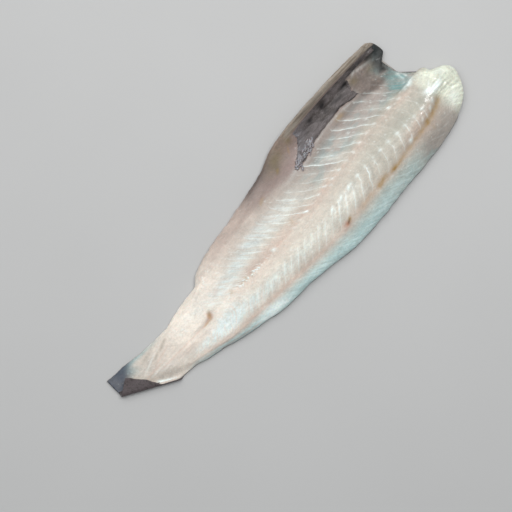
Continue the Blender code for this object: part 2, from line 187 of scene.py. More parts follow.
# Stains: distances along and across, half length, half width, strength, and turn in degrees where it has one
BROWN_STAINS = (
    (340, -39.2, 6, 2.6, 0.22, 8), (351, -38.1, 5, 2.4, 0.2, 6), (369, -35.6, 6, 3.3, 0.66, 14),
    (377, -34.4, 5, 2.4, 0.42, 12), (391, -34.6, 5, 2.5, 0.8, 4), (393, -35.4, 2.6, 0.9, 0.5),
    (400, -34, 4, 2.3, 0.45, 10), (408, -32.6, 5, 2.2, 0.36, 9), (419, -30.6, 5, 2.6, 0.4, 9),
    (431, -28.6, 5.5, 2.3, 0.38, 9), (443, -26.4, 5.5, 2.9, 0.5, 12), (455, -24, 5, 3.4, 0.78, 14),
    (465, -21.4, 5, 3.3, 0.62, 18), (475, -17.6, 6, 3.5, 0.56, 24), (482, -13.6, 5, 3, 0.42, 28),
    (456.5, -33.2, 1.7, 2.2, 0.34), (298.6, 56.2, 3, 1.4, 0.3, 48), (260.5, 43.9, 4, 1.9, 0.46, 25),
    (267.5, 3.3, 1.8, 2.6, 0.4), (324, 64.5, 4, 1, 0.55, 55), (391, 50.3, 5.5, 2.8, 0.42, 5),
    (188.4, -4.2, 1.3, 1.8, 0.95, 20), (166, -4.2, 1.3, 2.4, 0.5, 10), (181, -6, 1.6, 1.2, 0.45),
    (196, -7.2, 1.4, 1.1, 0.35), (130.4, -4.6, 1.7, 3.3, 1, -28), (123, -9.4, 6.5, 1.2, 0.62, 5),
    (150.5, 7, 2, 1.6, 0.22), (345, 58, 1.4, 1.2, 0.5), (315.4, -39.8, 3.6, 2, 0.95, 35),
)
RED_STAINS = (
    (310.8, -41.8, 2.8, 2.6, 0.62, 35), (307.6, -41.4, 4.2, 2.6, 0.3), (130, -5.6, 3.6, 4.2, 0.52, -30),
    (305.4, -45, 4, 1.8, 0.2, 20), (122, -8.6, 6, 2.4, 0.2, 5), (152, 8, 5, 3, 0.26, 20), (60, 1, 16, 1, 0.2, 14),
    (46, -5, 14, 1.1, 0.2, 4),
)
DARK_STAINS = ((312.9, -41.3, 2, 1.4, 0.85, 45), (131.2, -4.9, 1.3, 2.4, 0.28, -28))
OLIVE_STAINS = (
    (305, 67.5, 20, 9, 0.95, 20), (67, 8, 5, 1.8, 0.5, 20), (56, 5, 5, 1.4, 0.4, 20), (74, 11, 3.5, 1.6, 0.4, 20),
    (431, 67.5, 5.5, 4.6, 0.8, -10), (330.7, 73.2, 5, 5.5, 0.8), (456, 65.5, 8, 4.5, 0.62, 10),
    (391.1, 50.3, 7, 3.6, 0.4), (333, 82, 16, 3, 0.35, 8), (382, 84.5, 18, 2.6, 0.55), (46, 12, 9, 2.4, 0.28, 14),
    (298.6, 56.4, 4.6, 2.2, 0.6, 48),
)
# Feathery milky patches: partly milky flesh, partly painted reflection of pale light on the wet surface
FEATHER_AND_REFLECTION_PATCHES = (
    (176, 9, 28, 8, 1.1, 10), (146, -22, 24, 9, 1.5, 6), (120, 8, 26, 9, 0.35, 8), (148, 5, 12, 6, 0.45, 10),
    (215, 22, 26, 7, 0.4, 12), (235, -27, 40, 5, 0.35), (352, 22, 13, 4.5, 0.55, -38), (370, 27, 10, 4, 0.3, -38),
    (424, 30, 10, 5, 0.3, -50), (60, -13, 16, 3, 0.3, -6),
)
# Rosy patches
ROSY_PATCHES = (
    (456, -30, 34, 12, 0.7, 10), (390, 43, 44, 6, 0.45, 5), (445, -18, 34, 6, 0.5, 12), (80, -14, 40, 4, 0.3, -4),
    (100, 2, 30, 4, 0.1), (330, 9, 24, 5, 0.3, 16),
)
# Bluish skin of the nape
FILM_PATCHES = (
    (449, 28, 9, 5, 0.4), (458, 58, 8, 8, 0.36), (468, 72, 8, 5, 0.35),
)
# White patches and white membranes, with painted highlights on the loin end, the nape rim, the curled tail edge
# and the silver membrane
WHITE_AND_HIGHLIGHT_PATCHES = (
    (478, 0, 5, 2.6, 0.9, -10), (486, -3, 8, 3.6, 1), (494, -1.5, 5, 2.2, 0.8, 20), (484, 4.5, 5, 1, 0.6, 35),
    (47, -23.3, 9, 1.7, 1, -31), (40.5, -18.6, 4, 1.4, 0.9, -40), (191, -50.5, 17, 4.6, 1, -10),
    (176, -53, 15, 2.2, 0.75, -14), (497, -24, 9, 6, 0.35, 30), (311, 41.5, 8, 2.4, 0.2, 8),
    (328, 40.5, 9, 1.8, 0.2, 12), (300, 38, 10, 2, 0.12), (357, 50, 11, 1.8, 0.22, 10),
    (378, 53.5, 14, 1.7, 0.2, 3), (404, 53, 8, 1.5, 0.16, -4), (505, 6, 7, 4, 0.3, -40), (45, 4, 15, 0.8, 0.4, 21),
    (46, -8.6, 13, 0.8, 0.3, -2), (450, 73, 12, 1.6, 0.16, -8), (437, 75, 5, 1.2, 0.2, 30),
    (424.5, 58, 0.9, 10, 0.16),
)
# Painted shade: darker parts where shade falls, and painted light: lighter parts, with a strength below 0; some
# also carry the flesh's own tone
PAINTED_SHADE_PATCHES = (
    (235, 22, 60, 12, 0.13, 9), (455, -42, 34, 8, 0.25, 14), (130, -8, 6, 4, 0.14), (180, 10, 28, 9, 0.1, 8),
    (395, 46, 30, 5, 0.28, 3), (345, 39, 16, 5, 0.16, 10), (430, 20, 34, 7, 0.1, 2), (452, 40, 12, 10, 0.12),
    (280, 10, 34, 8, 0.08, 12), (200, 0, 34, 5, 0.06), (265, -54, 62, 8, -0.14, -3), (402, -51, 26, 8, 0.08, 8),
    (322, 50, 9, 8, -0.12), (432, 34, 15, 7, 0.15, -10), (370, 24, 14, 7, 0.1, -30), (420, 85.5, 16, 2.6, -0.12),
    (462, 86, 12, 3, 0.16), (374, 83, 38, 3, 0.29, 3), (298, 71, 13, 5, 0.22, 25), (406, 50, 24, 5, 0.15),
    (438, 65, 13, 10, 0.29), (455, 55, 7, 5, -0.22), (436, 47, 16, 4.5, 0.24), (461, 76, 10, 4, 0.72),
    (109, -18, 12, 6, 0.11), (202, -14, 16, 6, -0.09), (318, 2, 20, 6, 0.07, 10), (294, -42, 16, 4, -0.16),
    (266, 50, 20, 8, 0.12, 20), (242, 49, 12, 5, 0.1, 14), (300, 60, 12, 5, 0.12, 25),
)
# Darkest spots of the lining
LINING_DARK = (
    (386, 74, 5, 2.6, 1.3), (364, 71, 4, 3.4, 1, 10), (420, 72.5, 8, 2.4, 1.3, 8), (404, 66, 10, 2.4, 0.9, -10),
    (417, 53, 9, 1.8, 1.5, -8), (397, 57.5, 10, 1.5, 1, -5), (385, 68, 3, 5, 0.6), (375, 62, 8, 1, 0.6, -30),
    (394, 79, 6, 1.4, 0.8), (447, 78, 14, 1.6, 0.9, 6), (352, 66, 4, 3, 0.4), (343, 46, 4, 2, 0.8, 15),
    (328, 43.5, 5, 1.6, 0.8, 12), (333, 50, 3, 1.5, 0.5, 20),
)
# Palest parts of the lining
LINING_PALE = (
    (358, 60, 15, 6, 0.55, 12), (347, 71, 6, 8, 0.8), (376, 57.5, 12, 3, 0.8, 8), (398, 75, 5, 4, 0.45),
    (362, 76, 12, 2.5, 0.6), (412, 63, 8, 1.6, 0.4, -10), (388, 80, 30, 1.6, 0.35, 2),
)
# Large nubs
LARGE_NUBS = (
    (232, -4.1, 2.6, 2, 1.1), (434, 17.6, 1.6, 1.4, 1.2), (383.1, 29.6, 1.7, 1.3, 0.6),
    (425.6, -25.9, 2.6, 2, 1, 10), (324.6, -16.6, 4, 1.6, 1, 38), (338.6, -14.6, 3.4, 1.8, 1, 38),
    (308.8, -18.8, 3.4, 1.4, 0.8, 38), (451.2, -18.9, 2.8, 1.3, 0.6, 45), (466.4, -15.9, 3.4, 1.4, 0.7, 50),
    (475, -11, 3, 1.3, 0.6, 50),
)
# Patches of fine grains
GRAINY_PATCHES = ((97, 3, 5, 3, 1), (152, 28, 16, 6, 0.7, 20))
# Gouge near the tail and its raised rim
GOUGE = ((131.5, -4.2, 2.4, 3.8, 1, -30), (125.5, -8.3, 6, 1.3, 0.6, 6))
GOUGE_RIM = ((136, -2.4, 2.2, 4.2, 1, -30), (127, -1.6, 2.2, 3.6, 0.5, -30))
# Wrinkled skins over the flesh
NAPE_FILM = ((469, 37, 15, 15, 1),)
PUCKER = ((156, 31, 17, 8, 1, 25),)
SILVER = ((193, -51, 22, 5.5, 1, -12),)
# Bluish belly edge near the tail
TAIL_BLUE = ((36, 20, 26, 2.8, 0.9, -4), (22, 15, 11, 6, 0.75, -40))
# Torn parts of the lining
LINING_TORN = ((330, 47.5, 14, 5, 1.5, 14), (346, 54, 6, 5, 0.3))
# Soft bands: from and to as shares of the width, softness, from and to along, softness, strength
# The feathery bands are partly milky flesh, partly painted reflection of pale light
FEATHER_AND_REFLECTION_BANDS = (
    (0.26, 0.35, 0.035, 190, 345, 22, 0.8), (0.25, 0.345, 0.04, 92, 200, 22, 0.85),
    (0.575, 0.665, 0.03, 200, 290, 22, 0.66),
)
ROSY_BANDS = ((0.42, 0.52, 0.03, 160, 255, 14, 0.4), (0.495, 0.55, 0.015, 185, 292, 14, 0.55))
# Thin red line near the back edge of the tail, amount of the front's colour, and brightness along the tail
RED_LINE = ((85, -33), (92, -34.5), (125, -43), (150, -48.5), (170, -51))
FRONT_AMOUNT = ((110, 0), (160, 0.14), (230, 0.36), (300, 0.5), (380, 0.84), (430, 1))
TAIL_DIM = ((-3, 0.63), (40, 0.7), (75, 0.82), (105, 0.96), (505, 0.96))

# Seeded noise: knots of its table each way and how far it is shifted, and the most sheets that are drawn for
NOISE_KNOTS = 128
NOISE_SHIFT = 40
MOST_SHEETS = 80

# Shreds: limits of where they lie, their turn, length and half width, and rings and points of a ring
SHRED_ALONG = (314, 352)
SHRED_SHARE = 0.722
SHRED_SPREAD = (-0.016, 0.055)
SHRED_TURN = (-0.7, 1)
SHRED_LONG = (3, 7.5)
SHRED_WIDE = (0.4, 1.6)
SHRED_RINGS = 13
SHRED_AROUND = 8
SIDE_WIDTH = 130
UPWARDS = np.array([0, 0, 1])

# Floor and lights: metres from the aim of the camera, sides of the lamps and the colour of the sky
FLOOR_REACH = 4
FLOOR_GAP = 0.3
KEY_AT = (0.2, 0.62, 1.45)
KEY_SIZE = (2.4, 2.2)
GLEAM_AT = (0.88, -0.03, 1.26)
GLEAM_AIM = (0.26, 0, 0)
GLEAM_SIZE = (0.3, 0.22)
SKY_COLOUR = (0.94, 0.97, 1, 1)


def smooth(low, high, value):
    """Soft step from 0 at low to 1 at high."""
    u = np.clip((np.asarray(value, float) - low) / (high - low), 0, 1)
    return u * u * (3 - 2 * u)


def fall(low, high, value):
    """Soft step from 1 at low to 0 at high."""
    return 1 - smooth(low, high, value)


def between(low, high, soft, value):
    """1 between low and high, with soft ends."""
    return smooth(low - soft, low + soft, value) * fall(high - soft, high + soft, value)


def through(knots, value):
    """Curve through the knots that never swings past them."""
    xs, ys = np.array(knots, float).T
    step = np.diff(xs)
    rise = np.diff(ys) / step
    first = 2 * step[1:] + step[:-1]
    second = step[1:] + 2 * step[:-1]
    same = rise[:-1] * rise[1:] > 0
    low, high = np.where(same, (rise[:-1], rise[1:]), 1)
    inner = np.where(same, (first + second) / (first / low + second / high), 0)
    slope = np.concatenate([rise[:1], inner, rise[-1:]])
    value = np.clip(np.asarray(value, float), xs[0], xs[-1])
    i = np.clip(np.searchsorted(xs, value, side="right") - 1, 0, len(xs) - 2)
    u = (value - xs[i]) / step[i]
    keep = (1 + 2 * u) * (1 - u) ** 2 * ys[i] + u * u * (3 - 2 * u) * ys[i + 1]
    bend = u * (1 - u) ** 2 * slope[i] - u * u * (1 - u) * slope[i + 1]
    return keep + bend * step[i]


def grain(u, v, seed):
    """Seeded soft noise from -1 to 1, with one knot to a unit of u and v."""
    table = np.random.default_rng(seed).uniform(-1, 1, (NOISE_KNOTS, NOISE_KNOTS))
    u, v = np.asarray(u, float) + NOISE_SHIFT, np.asarray(v, float) + NOISE_SHIFT
    i, j = np.floor(u).astype(int), np.floor(v).astype(int)
    p, q = smooth(0, 1, u - i), smooth(0, 1, v - j)
    i, i_next, j, j_next = (k % NOISE_KNOTS for k in (i, i + 1, j, j + 1))
    low, high = (table[i, k] * (1 - p) + table[i_next, k] * p for k in (j, j_next))
    return low * (1 - q) + high * q


def layered(u, v, seed, layers=3):
    """Noise of several sizes, each half of the one before."""
    found = grain(u, v, seed)
    for k in range(1, layers):
        found += grain(u * 2 ** k, v * 2 ** k, seed + k) * 0.5 ** k
    return found / 1.5


def bell(value, width):
    """1 at 0, falling off softly within the width."""
    return np.exp(-((value / width) ** 2))


def blots(along, level, places):
    """Sum of the soft oval blots of a table."""
    found = np.zeros(np.broadcast(along, level).shape)
    for at, over, length, width, strength, *turn in places:
        c, s = math.cos(math.radians(sum(turn))), math.sin(math.radians(sum(turn)))
        u = (along - at) * c + (level - over) * s
        v = (level - over) * c - (along - at) * s
        found += strength * np.exp(-((u / length) ** 2) - (v / width) ** 2)
    return found


def bands(share, along, rows):
    """Sum of soft bands, each between two shares of the width and two places along."""
    return sum(row[6] * between(*row[:3], share) * between(*row[3:6], along) for row in rows)


def across(along, share):
    """Distance across the side of a share of its width."""
    lines = (BACK_EDGE, PIN_LINE, BAND_LINE, MID_LINE, WALL_LINE, BELLY_EDGE)
    shares = (0, SHARE_PIN, SHARE_BAND, SHARE_MID, SHARE_WALL, 1)
    levels = [through(line, along) for line in lines]
    found = levels[0]
    for k in range(5):
        part = np.clip((share - shares[k]) / (shares[k + 1] - shares[k]), 0, 1)
        found = found + part * (levels[k + 1] - levels[k])
    return found


def long_lines(along):
    """Distances across of the mid line, the band line and the pin line."""
    return through(MID_LINE, along), through(BAND_LINE, along), through(PIN_LINE, along)


def lean(along, level, front):
    """How far the sheets lean back from the mid line, and how far a point lies beyond the pin line."""
    mid, band, pin = long_lines(along)
    up = np.clip(level - mid, 0, 34)
    belly = 1.36 * up - 0.008 * up * up
    down = np.minimum(np.clip(band - level, 0, None), band - pin)
    back = front * 0.015 * down * down + (1 - front) * 0.88 * down
    return belly + back, np.clip(pin - level, 0, None)


def rake(middle, share):
    """How far a white sheet lies behind the place where it meets the mid line."""
    swept, edge = lean(middle, across(middle, share), smooth(290, 400, middle))
    return (swept - 1.2 * edge) * smooth(TAIL, 85, middle) * fall(415, HEAD, middle)


def place(middle, share):
    """Distances along and across of a point, from its place on the mid line and its share of the width."""
    end = through(HEAD_ALONG, share)
    u = (middle - TAIL) / (HEAD - TAIL)
    along = TAIL + u * (end - TAIL) - rake(middle, share)
    shift = through(HEAD_ACROSS, share) - across(end, share)
    return along, across(along, share) + smooth(0.86, 1, u) * shift


def curl(along, level, rise):
    """Height and slope of the under face of the flesh where the belly flap curls up."""
    edge = through(BELLY_EDGE, along)
    reach = smooth(292, 345, along) * (1 - 0.35 * smooth(450, 482, along))
    u = np.clip((level - edge + CURL_WIDTH) / CURL_WIDTH, 0, 1.05)
    return rise * reach * u * u, rise * reach * 2 * u / CURL_WIDTH


def rounded(distance, radius, least):
    """Share of the thickness at a distance from a rounded edge."""
    u = np.clip(distance / radius, 0, 1)
    return least + (1 - least) * np.sqrt(1 - (1 - u) ** 2)


def past_fold(along, level):
    """Distance beyond the outer edge of the fold, towards the tail corner."""
    return (along - FOLD_FROM[0]) * FOLD_OUT[0] + (level - FOLD_FROM[1]) * FOLD_OUT[1]


def flake_start(count):
    """Place on the mid line where a flake starts."""
    return TAIL + TAIL_FLAKE * (np.exp(FLAKE_GROWTH * count) - 1) / FLAKE_GROWTH


def flake_count(middle):
    """Number of flakes, with its fraction, from the tail to a place on the mid line."""
    return np.log(1 + FLAKE_GROWTH * (middle - TAIL) / TAIL_FLAKE) / FLAKE_GROWTH


def wall_cover(along, share):
    """1 where the dark lining covers the belly wall."""
    start = through(LINING_ROWS, share)
    return smooth(start - 7, start - 1, along) * fall(419, 424, along)


def sheet_count(along, level):
    """Number of white sheets, with its fraction, that a point lies past, counted from the tail."""
    mid, band, _ = long_lines(along)
    inside = np.clip((mid - level) / np.maximum(mid - band, 2), 0, 1)
    swept, edge = lean(along, level, smooth(300, 390, along))
    swept = swept - 9 * smooth(0, 0.75, inside) - 1.9 * edge
    return flake_count(np.clip(along + swept * smooth(TAIL, 85, along), TAIL, None)) + FLAKE_OFFSET


def nubs(along, level):
    """Small gristly nubs where the sheets meet the band line and the mid line."""
    draw = np.random.default_rng(5)
    strength = draw.uniform(0.1, 1, MOST_SHEETS)
    jitter = draw.uniform(-1, 1, MOST_SHEETS)
    mid, band, _ = long_lines(along)
    count = sheet_count(along, level)
    whole = np.rint(count).astype(int) % MOST_SHEETS
    beside = (count - np.rint(count)) * 13 + 0.9 * jitter[whole]
    outer = between(318, 474, 8, along) * strength[whole]
    outer *= bell(beside, 2.6) * bell(level - band - 0.5 * jitter[whole], 1.5)
    inner = between(268, 452, 10, along) * (0.95 + 0.45 * between(262, 335, 6, along)) * strength[-whole]
    inner *= bell(beside, 2.1) * bell(level - mid + 0.6 * jitter[whole], 1.3)
    return outer + inner + blots(along, level, LARGE_NUBS)


def grit(along, level):
    """Row of fine white grains on the mid line behind the middle of the side."""
    off = level - through(MID_LINE, along)
    spread = bell(off, 3.2) * between(178, 210, 5, along) + 0.45 * bell(off, 3) * between(150, 226, 8, along)
    spread += 0.6 * blots(along, level, GRAINY_PATCHES)
    return spread * smooth(0.1, 0.45, layered(along / 1.9, level / 1.7, 21, 2))


def nape_lobe(along, level):
    """1 on the rounded lobe of the nape, with a soft edge."""
    left = 423.5 + 1.6 * grain(level / 4.5, 0, 83)
    foot = 42.5 + 7.5 * np.clip((443 - along) / 19, 0, 1.2) ** 2 + grain(along / 5, 0, 85)
    return smooth(left - 1.3, left + 1.3, along) * smooth(foot - 3.5, foot + 2.5, level)


def fan(along, level):
    """Ridges that spread over the end of the loin, from -1 to 1."""
    theta = np.arctan2(level + 9, along - 446)
    reach = np.hypot(level + 9, along - 446)
    wander = 2.6 * grain(reach / 14, theta * 5, 43) + 1.2 * grain(reach / 5, theta * 9, 46)
    crest = np.sin(theta * 78 + wander)
    return crest * (0.55 + 0.45 * grain(reach / 9, theta * 11, 41))


def flesh_thickness(middle, share, along, level, sizes):
    """Thickness of the flesh with its rounded edges, its flakes and its small relief."""
    front = smooth(230, 350, along)
    profile = (1 - front) * through(REAR_PROFILE, share) + front * through(FRONT_PROFILE, share)
    thick = through(CREST, along) * profile
    nape = smooth(436, 478, along) * smooth(0.5, 0.6, share)
    thick += nape * (NAPE_THICK - thick)
    corner = smooth(-16, -4, past_fold(along, level))
    thick += corner * (CORNER_THICK - thick)

    wall = wall_cover(along, share)
    phase = (sheet_count(along, level) + 0.1 * grain(along / 17, level / 8, 11)) % 1
    line = bell(np.minimum(phase, 1 - phase), 0.075)
    pillow = 1 - np.abs(2 * phase - 1) ** 2.5 + 0.25 * (phase - 0.5)
    amount = through(FLAKE_ACROSS, share) * through(FLAKE_ALONG, middle)
    amount *= 1 - wall * smooth(0.66, 0.715, share)
    relief = sizes.flake_depth / MM * amount * (pillow - 0.6)
    mid, _, pin = long_lines(along)
    relief -= PIN_GROOVE * bell(level - pin, 4) * smooth(60, 130, along)
    relief -= MID_GROOVE * bell(level - mid, 2.6) * smooth(50, 90, along)
    relief += 0.45 * np.sin(along / 19 + 0.7) * np.sin(level / 13 + 0.3)
    lobe = smooth(421, 427, along) * fall(446, 470, along)
    relief += NAPE_LOBE * lobe * smooth(0.68, 0.74, share) * fall(0.84, 0.905, share)
    relief -= LINING_RECESS * wall * smooth(0.715, 0.74, share) * fall(0.93, 0.955, share)
    relief += small_relief(share, along, level, line, amount, sizes.wrinkle / MM)
    thick = np.maximum(thick + relief * (1 - corner), 1.2)

    for distance, radius, least in (
        (level - through(BACK_EDGE, along), through(BACK_RADIUS, along), 0.45),
        (through(BELLY_EDGE, along) - level, through(BELLY_RADIUS, along), 0.45 - 0.33 * smooth(300, 345, along)),
        (through(HEAD_ALONG, share) - along, through(HEAD_RADIUS, share), 0.36),
        (along - TAIL, 1.5, 0.6),
    ):
        thick = thick * rounded(distance, radius, least)
    return thick


def small_relief(share, along, level, line, amount, wrinkle):
    """Ridges, wrinkles, grains, the gouge and the furrows of the ends, in millimetres."""
    relief = 0.42 * layered(along / 23, level / 12, 31) + 0.16 * layered(along / 6.5, level / 3.6, 35)
    relief += 0.3 * amount * line + 0.75 * np.clip(nubs(along, level), 0, 1.3) + 0.85 * grit(along, level)
    relief += 0.7 * blots(along, level, GOUGE_RIM) - 1.5 * blots(along, level, GOUGE)

    ridged = smooth(470, 492, along) * fall(0.36, 0.46, share)
    relief += ridged * (0.25 + 0.55 * fall(-8, 4, level)) * fan(along, level)
    relief += 0.45 * ridged * layered(along / 5, level / 4, 44, 2)
    tail_turn = np.arctan2(level + 7, along - 16)
    relief += 0.22 * between(34, 86, 12, along) * grain(tail_turn * 17, along / 60, 51)

    lobe = nape_lobe(along, level)
    ring = np.hypot(along - 468, (level - 36) / 1.25)
    wall = smooth(0.72, 0.78, share) * smooth(150, 200, along)
    margin = fall(0.14, 0.22, share) * smooth(80, 130, along)
    return relief + 0.5 * lobe + wrinkle * (
        blots(along, level, NAPE_FILM) * np.sin(ring / 1.5 + 2.2 * grain(along / 9, level / 9, 45))
        + blots(along, level, PUCKER) * layered((along + 0.5 * level) / 2.8, level / 6, 55, 2)
        + blots(along, level, SILVER) * layered((along - 1.2 * level) / 3, level / 3.2, 58, 2)
        + 0.8 * lobe * layered((along + level) / 8, (level - 0.4 * along) / 3, 48, 2)
        + 0.22 * wall * layered(along / 9, level / 2.6, 61, 2)
        + 0.28 * margin * layered((along + 2.2 * level) / 3.4, level / 16, 65, 2)
    )


def ragged(along, share, amount):
    """How far the outline wanders across the side at its two long edges."""
    back = layered(along / 7, 0, 71) * fall(0, 0.05, share)
    belly = layered(along / 5, 0, 75) * smooth(0.96, 1, share)
    return amount * (back + belly)


def upper_face(middle, share, sizes):
    """Distances along, across and up of the upper face of the flesh."""
    along, level = place(middle, share)
    lift, _ = curl(along, level, sizes.curl_rise / MM)
    height = FLESH_BASE + lift + flesh_thickness(middle, share, along, level, sizes)
    level = level + ragged(along, share, sizes.ragged / MM)
    return np.stack([along, level, height], axis=-1)


def under_face(middle, share, sizes, depth=UNDER_DEPTH):
    """Distances of a face at a depth under the lower face of the flesh."""
    along, level = place(middle, share)
    lift, slope = curl(along, level, sizes.curl_rise / MM)
    height = FLESH_BASE + lift - depth * np.sqrt(1 + slope * slope)
    return np.stack([along, level, height], axis=-1)


def folded(points, sizes):
    """Rolls the tail corner up and over along its fold, with a slight waviness of its own."""
    radius = CORNER_THICK + FOLD_INNER
    axis_height = FLESH_BASE + radius
    reach = past_fold(points[..., 0], points[..., 1]) + axis_height
    angle = np.clip(reach / radius, 0, sizes.fold_turn)
    rest = reach - angle * radius
    arm = axis_height - points[..., 2]
    shift = np.where(reach > 0, arm * np.sin(angle) + rest * np.cos(angle) - reach, 0)
    moved = points.copy()
    moved[..., :2] += shift[..., None] * FOLD_OUT
    height = axis_height - arm * np.cos(angle) + rest * np.sin(angle)
    wave = FOLD_WAVE * layered(moved[..., 0] / 13, moved[..., 1] / 13, 81, 2) * smooth(4, 14, rest)
    moved[..., 2] = np.where(reach > 0, height + wave, points[..., 2])
    return moved


def columns_of(parts):
    """Places on the mid line of the columns, the same parts of every flake."""
    starts = [flake_start(k + part) for k in range(int(flake_count(HEAD))) for part in parts]
    places = [TAIL] + [at for at in starts if TAIL + 0.3 < at < HEAD - 0.3]
    return np.concatenate([places, np.linspace(places[-1], HEAD, TIP_COLUMNS)[1:]])


def rows_of(inner):
    """Shares of the width of the rows, closer together at both edges."""
    edge = np.array(EDGE_ROWS)
    middle = np.linspace(INNER_FROM, 1 - INNER_FROM, inner)
    return np.concatenate([edge, middle, 1 - edge[::-1]])


def shell(fine, few, rows, few_rows, up, bulge):
    """Closed mesh of a fine sheet, a rounded rim and a plain sheet with as many columns behind it.

    The sheets are grids of points; channels after the first three are values that go with each point.
    """
    columns, many = fine.shape[:2]
    points = [fine.reshape(-1, fine.shape[2])]
    grid = np.arange(columns * many).reshape(columns, many)
    quads = [sheet_faces(grid)]

    def end_row(k):
        return np.stack([np.interp(rows, few_rows, few[k, :, c]) for c in range(few.shape[2])], axis=-1)

    outer = np.concatenate([fine[:-1, 0], fine[-1, :-1], fine[:0:-1, -1], fine[0, :0:-1]])
    last = np.concatenate([grid[:-1, 0], grid[-1, :-1], grid[:0:-1, -1], grid[0, :0:-1]])
    inner = np.concatenate([few[:-1, 0], end_row(-1)[:-1], few[:0:-1, -1], end_row(0)[:0:-1]])
    away = outer[:, :2] - inner[:, :2]
    away = away / np.maximum(np.hypot(away[:, 0], away[:, 1]), 0.05)[:, None]
    tall = np.linalg.norm(outer[:, :3] - inner[:, :3], axis=1)
    count, total = columns * many, len(outer)
    for k in range(1, RIM_LOOPS + 2):
        t = k / (RIM_LOOPS + 1)
        ring = outer * (1 - t) + inner * t
        swell = np.clip(bulge * tall, 0, 2.6) * math.sin(math.pi * t)
        ring[:, :2] += away * swell[:, None]
        points.append(ring)
        index = count + np.arange(total)
        count += total
        quads.append(np.stack([last, index, np.roll(index, -1), np.roll(last, -1)], axis=1))
        last = index

    inside = few[1:-1, 1:-1]
    points.append(inside.reshape(-1, few.shape[2]))
    middle = count + np.arange(inside.shape[0] * inside.shape[1]).reshape(inside.shape[:2])
    near = last[1:columns - 1]
    far = last[columns + many - 1:2 * columns + many - 3][::-1]
    cap = np.concatenate([near[:, None], middle, far[:, None]], axis=1)
    quads.append(sheet_faces(cap)[:, ::-1])
    head_ring = last[columns - 1:columns + many - 1]
    tail_ring = np.concatenate([[last[0]], last[2 * columns + many - 3:][::-1]])
    faces = [tuple(face) for face in np.concatenate(quads)]
    faces += zipped(cap[-1], few_rows, head_ring, rows) + zipped(tail_ring, rows, cap[0], few_rows)
    if not up:
        faces = [face[::-1] for face in faces]
    return np.concatenate(points), faces


def sheet_faces(grid):
    """Four-sided faces of a grid of vertex numbers."""
    return np.stack([grid[:-1, :-1], grid[1:, :-1], grid[1:, 1:], grid[:-1, 1:]], axis=-1).reshape(-1, 4)


def zipped(one, one_at, two, two_at):
    """Triangles between two rows of vertices whose places run from 0 to 1."""
    faces = []
    i = j = 0
    while i < len(one) - 1 or j < len(two) - 1:
        step_one = j == len(two) - 1 or (i < len(one) - 1 and one_at[i + 1] <= two_at[j + 1])
        if step_one:
            faces.append((one[i], two[j], one[i + 1]))
            i += 1
        else:
            faces.append((one[i], two[j], two[j + 1]))
            j += 1
    return faces


def made_piece(name, points, faces, values, material, nodes):
    """Links the object of one piece, gives its mesh the named values, and ties it to the frame."""
    mesh = bpy.data.meshes.new(name)
    place_of = (points[:, :3] - np.array([ORIGIN_ALONG, ORIGIN_ACROSS, 0])) * MM
    mesh.from_pydata(place_of.tolist(), [], [tuple(int(k) for k in face) for face in faces])
    mesh.polygons.foreach_set("use_smooth", np.ones(len(mesh.polygons), dtype=bool))
    lay = mesh.attributes.new("lay", "FLOAT_VECTOR", "POINT")
    lay.data.foreach_set("vector", points[:, 3:6].astype(np.float32).ravel())
    for k, value in enumerate(values):
        layer = mesh.attributes.new(value, "FLOAT", "POINT")
        layer.data.foreach_set("value", points[:, 6 + k].astype(np.float32))
    mesh.materials.append(material)
    mesh.update()
    piece = bpy.data.objects.new(name, mesh)
    bpy.context.scene.collection.objects.link(piece)
    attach(piece, "root")
    if nodes:
        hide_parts(*nodes)
    return piece


def channels(points, unfolded, values):
    """Joins the places of points, their places before the fold and their values."""
    return np.concatenate([points, unfolded, np.stack(values, axis=-1)], axis=-1)


FLESH_VALUES = ("flake", "share", "sheet", "feather", "rose", "blue", "front", "clear", "wall", "deep", "nape",
                "film", "end", "thin", "olive", "brown", "red", "dark", "white", "lip", "dim")


def back_margin(share, along, level):
    """1 on the thin flesh along the back edge."""
    return fall(0.05, 0.215, share + 0.012 * grain(along / 8, level / 8, 97))


def sheet_amount(share, along, level):
    """Strength of the white sheets between the flakes."""
    mid, band, _ = long_lines(along)
    whole = np.rint(sheet_count(along, level)).astype(int) % MOST_SHEETS
    draw = np.random.default_rng(9)
    upper = draw.uniform(0.35, 1, MOST_SHEETS)[whole]
    lower = draw.uniform(0.25, 1, MOST_SHEETS)[whole]
    patches = smooth(-0.75, 0.35, grain(along / 9, level / 5, 13))

    up = level - mid
    plain = 11.5 * fall(258, 302, along)
    reach = smooth(0, 4, through(WALL_LINE, along) - level) * fall(28, 41, up)
    reach *= smooth(plain - 4, plain + 3, up + 3)
    belly = between(SHARE_MID + 0.01, SHARE_WALL, 0.015, share) * upper * reach
    belly *= 0.16 + 0.78 * patches + 0.45 * bell(up - 3 - plain, 5.5)
    belly *= 0.1 + 0.8 * smooth(160, 215, along) + 0.1 * smooth(262, 330, along)
    belly *= (1 - 0.46 * smooth(375, 420, along)) * (0.8 + 0.2 * smooth(300, 345, along)) * fall(446, 464, along)

    back = between(SHARE_PIN + 0.01, SHARE_BAND, 0.015, share) * lower * (0.35 + 0.65 * patches)
    back *= (0.14 + 0.84 * smooth(150, 220, along)) * (0.45 + 0.55 * bell(level - band + 7, 9))
    back *= fall(462, 482, along) * (1 - 0.36 * smooth(350, 395, along))
    loin = between(SHARE_BAND, SHARE_MID, 0.02, share) * smooth(300, 380, along)
    margin = back_margin(share, along, level) * smooth(230, 300, along)
    return belly + back + 0.08 * loin + 0.15 * margin * patches


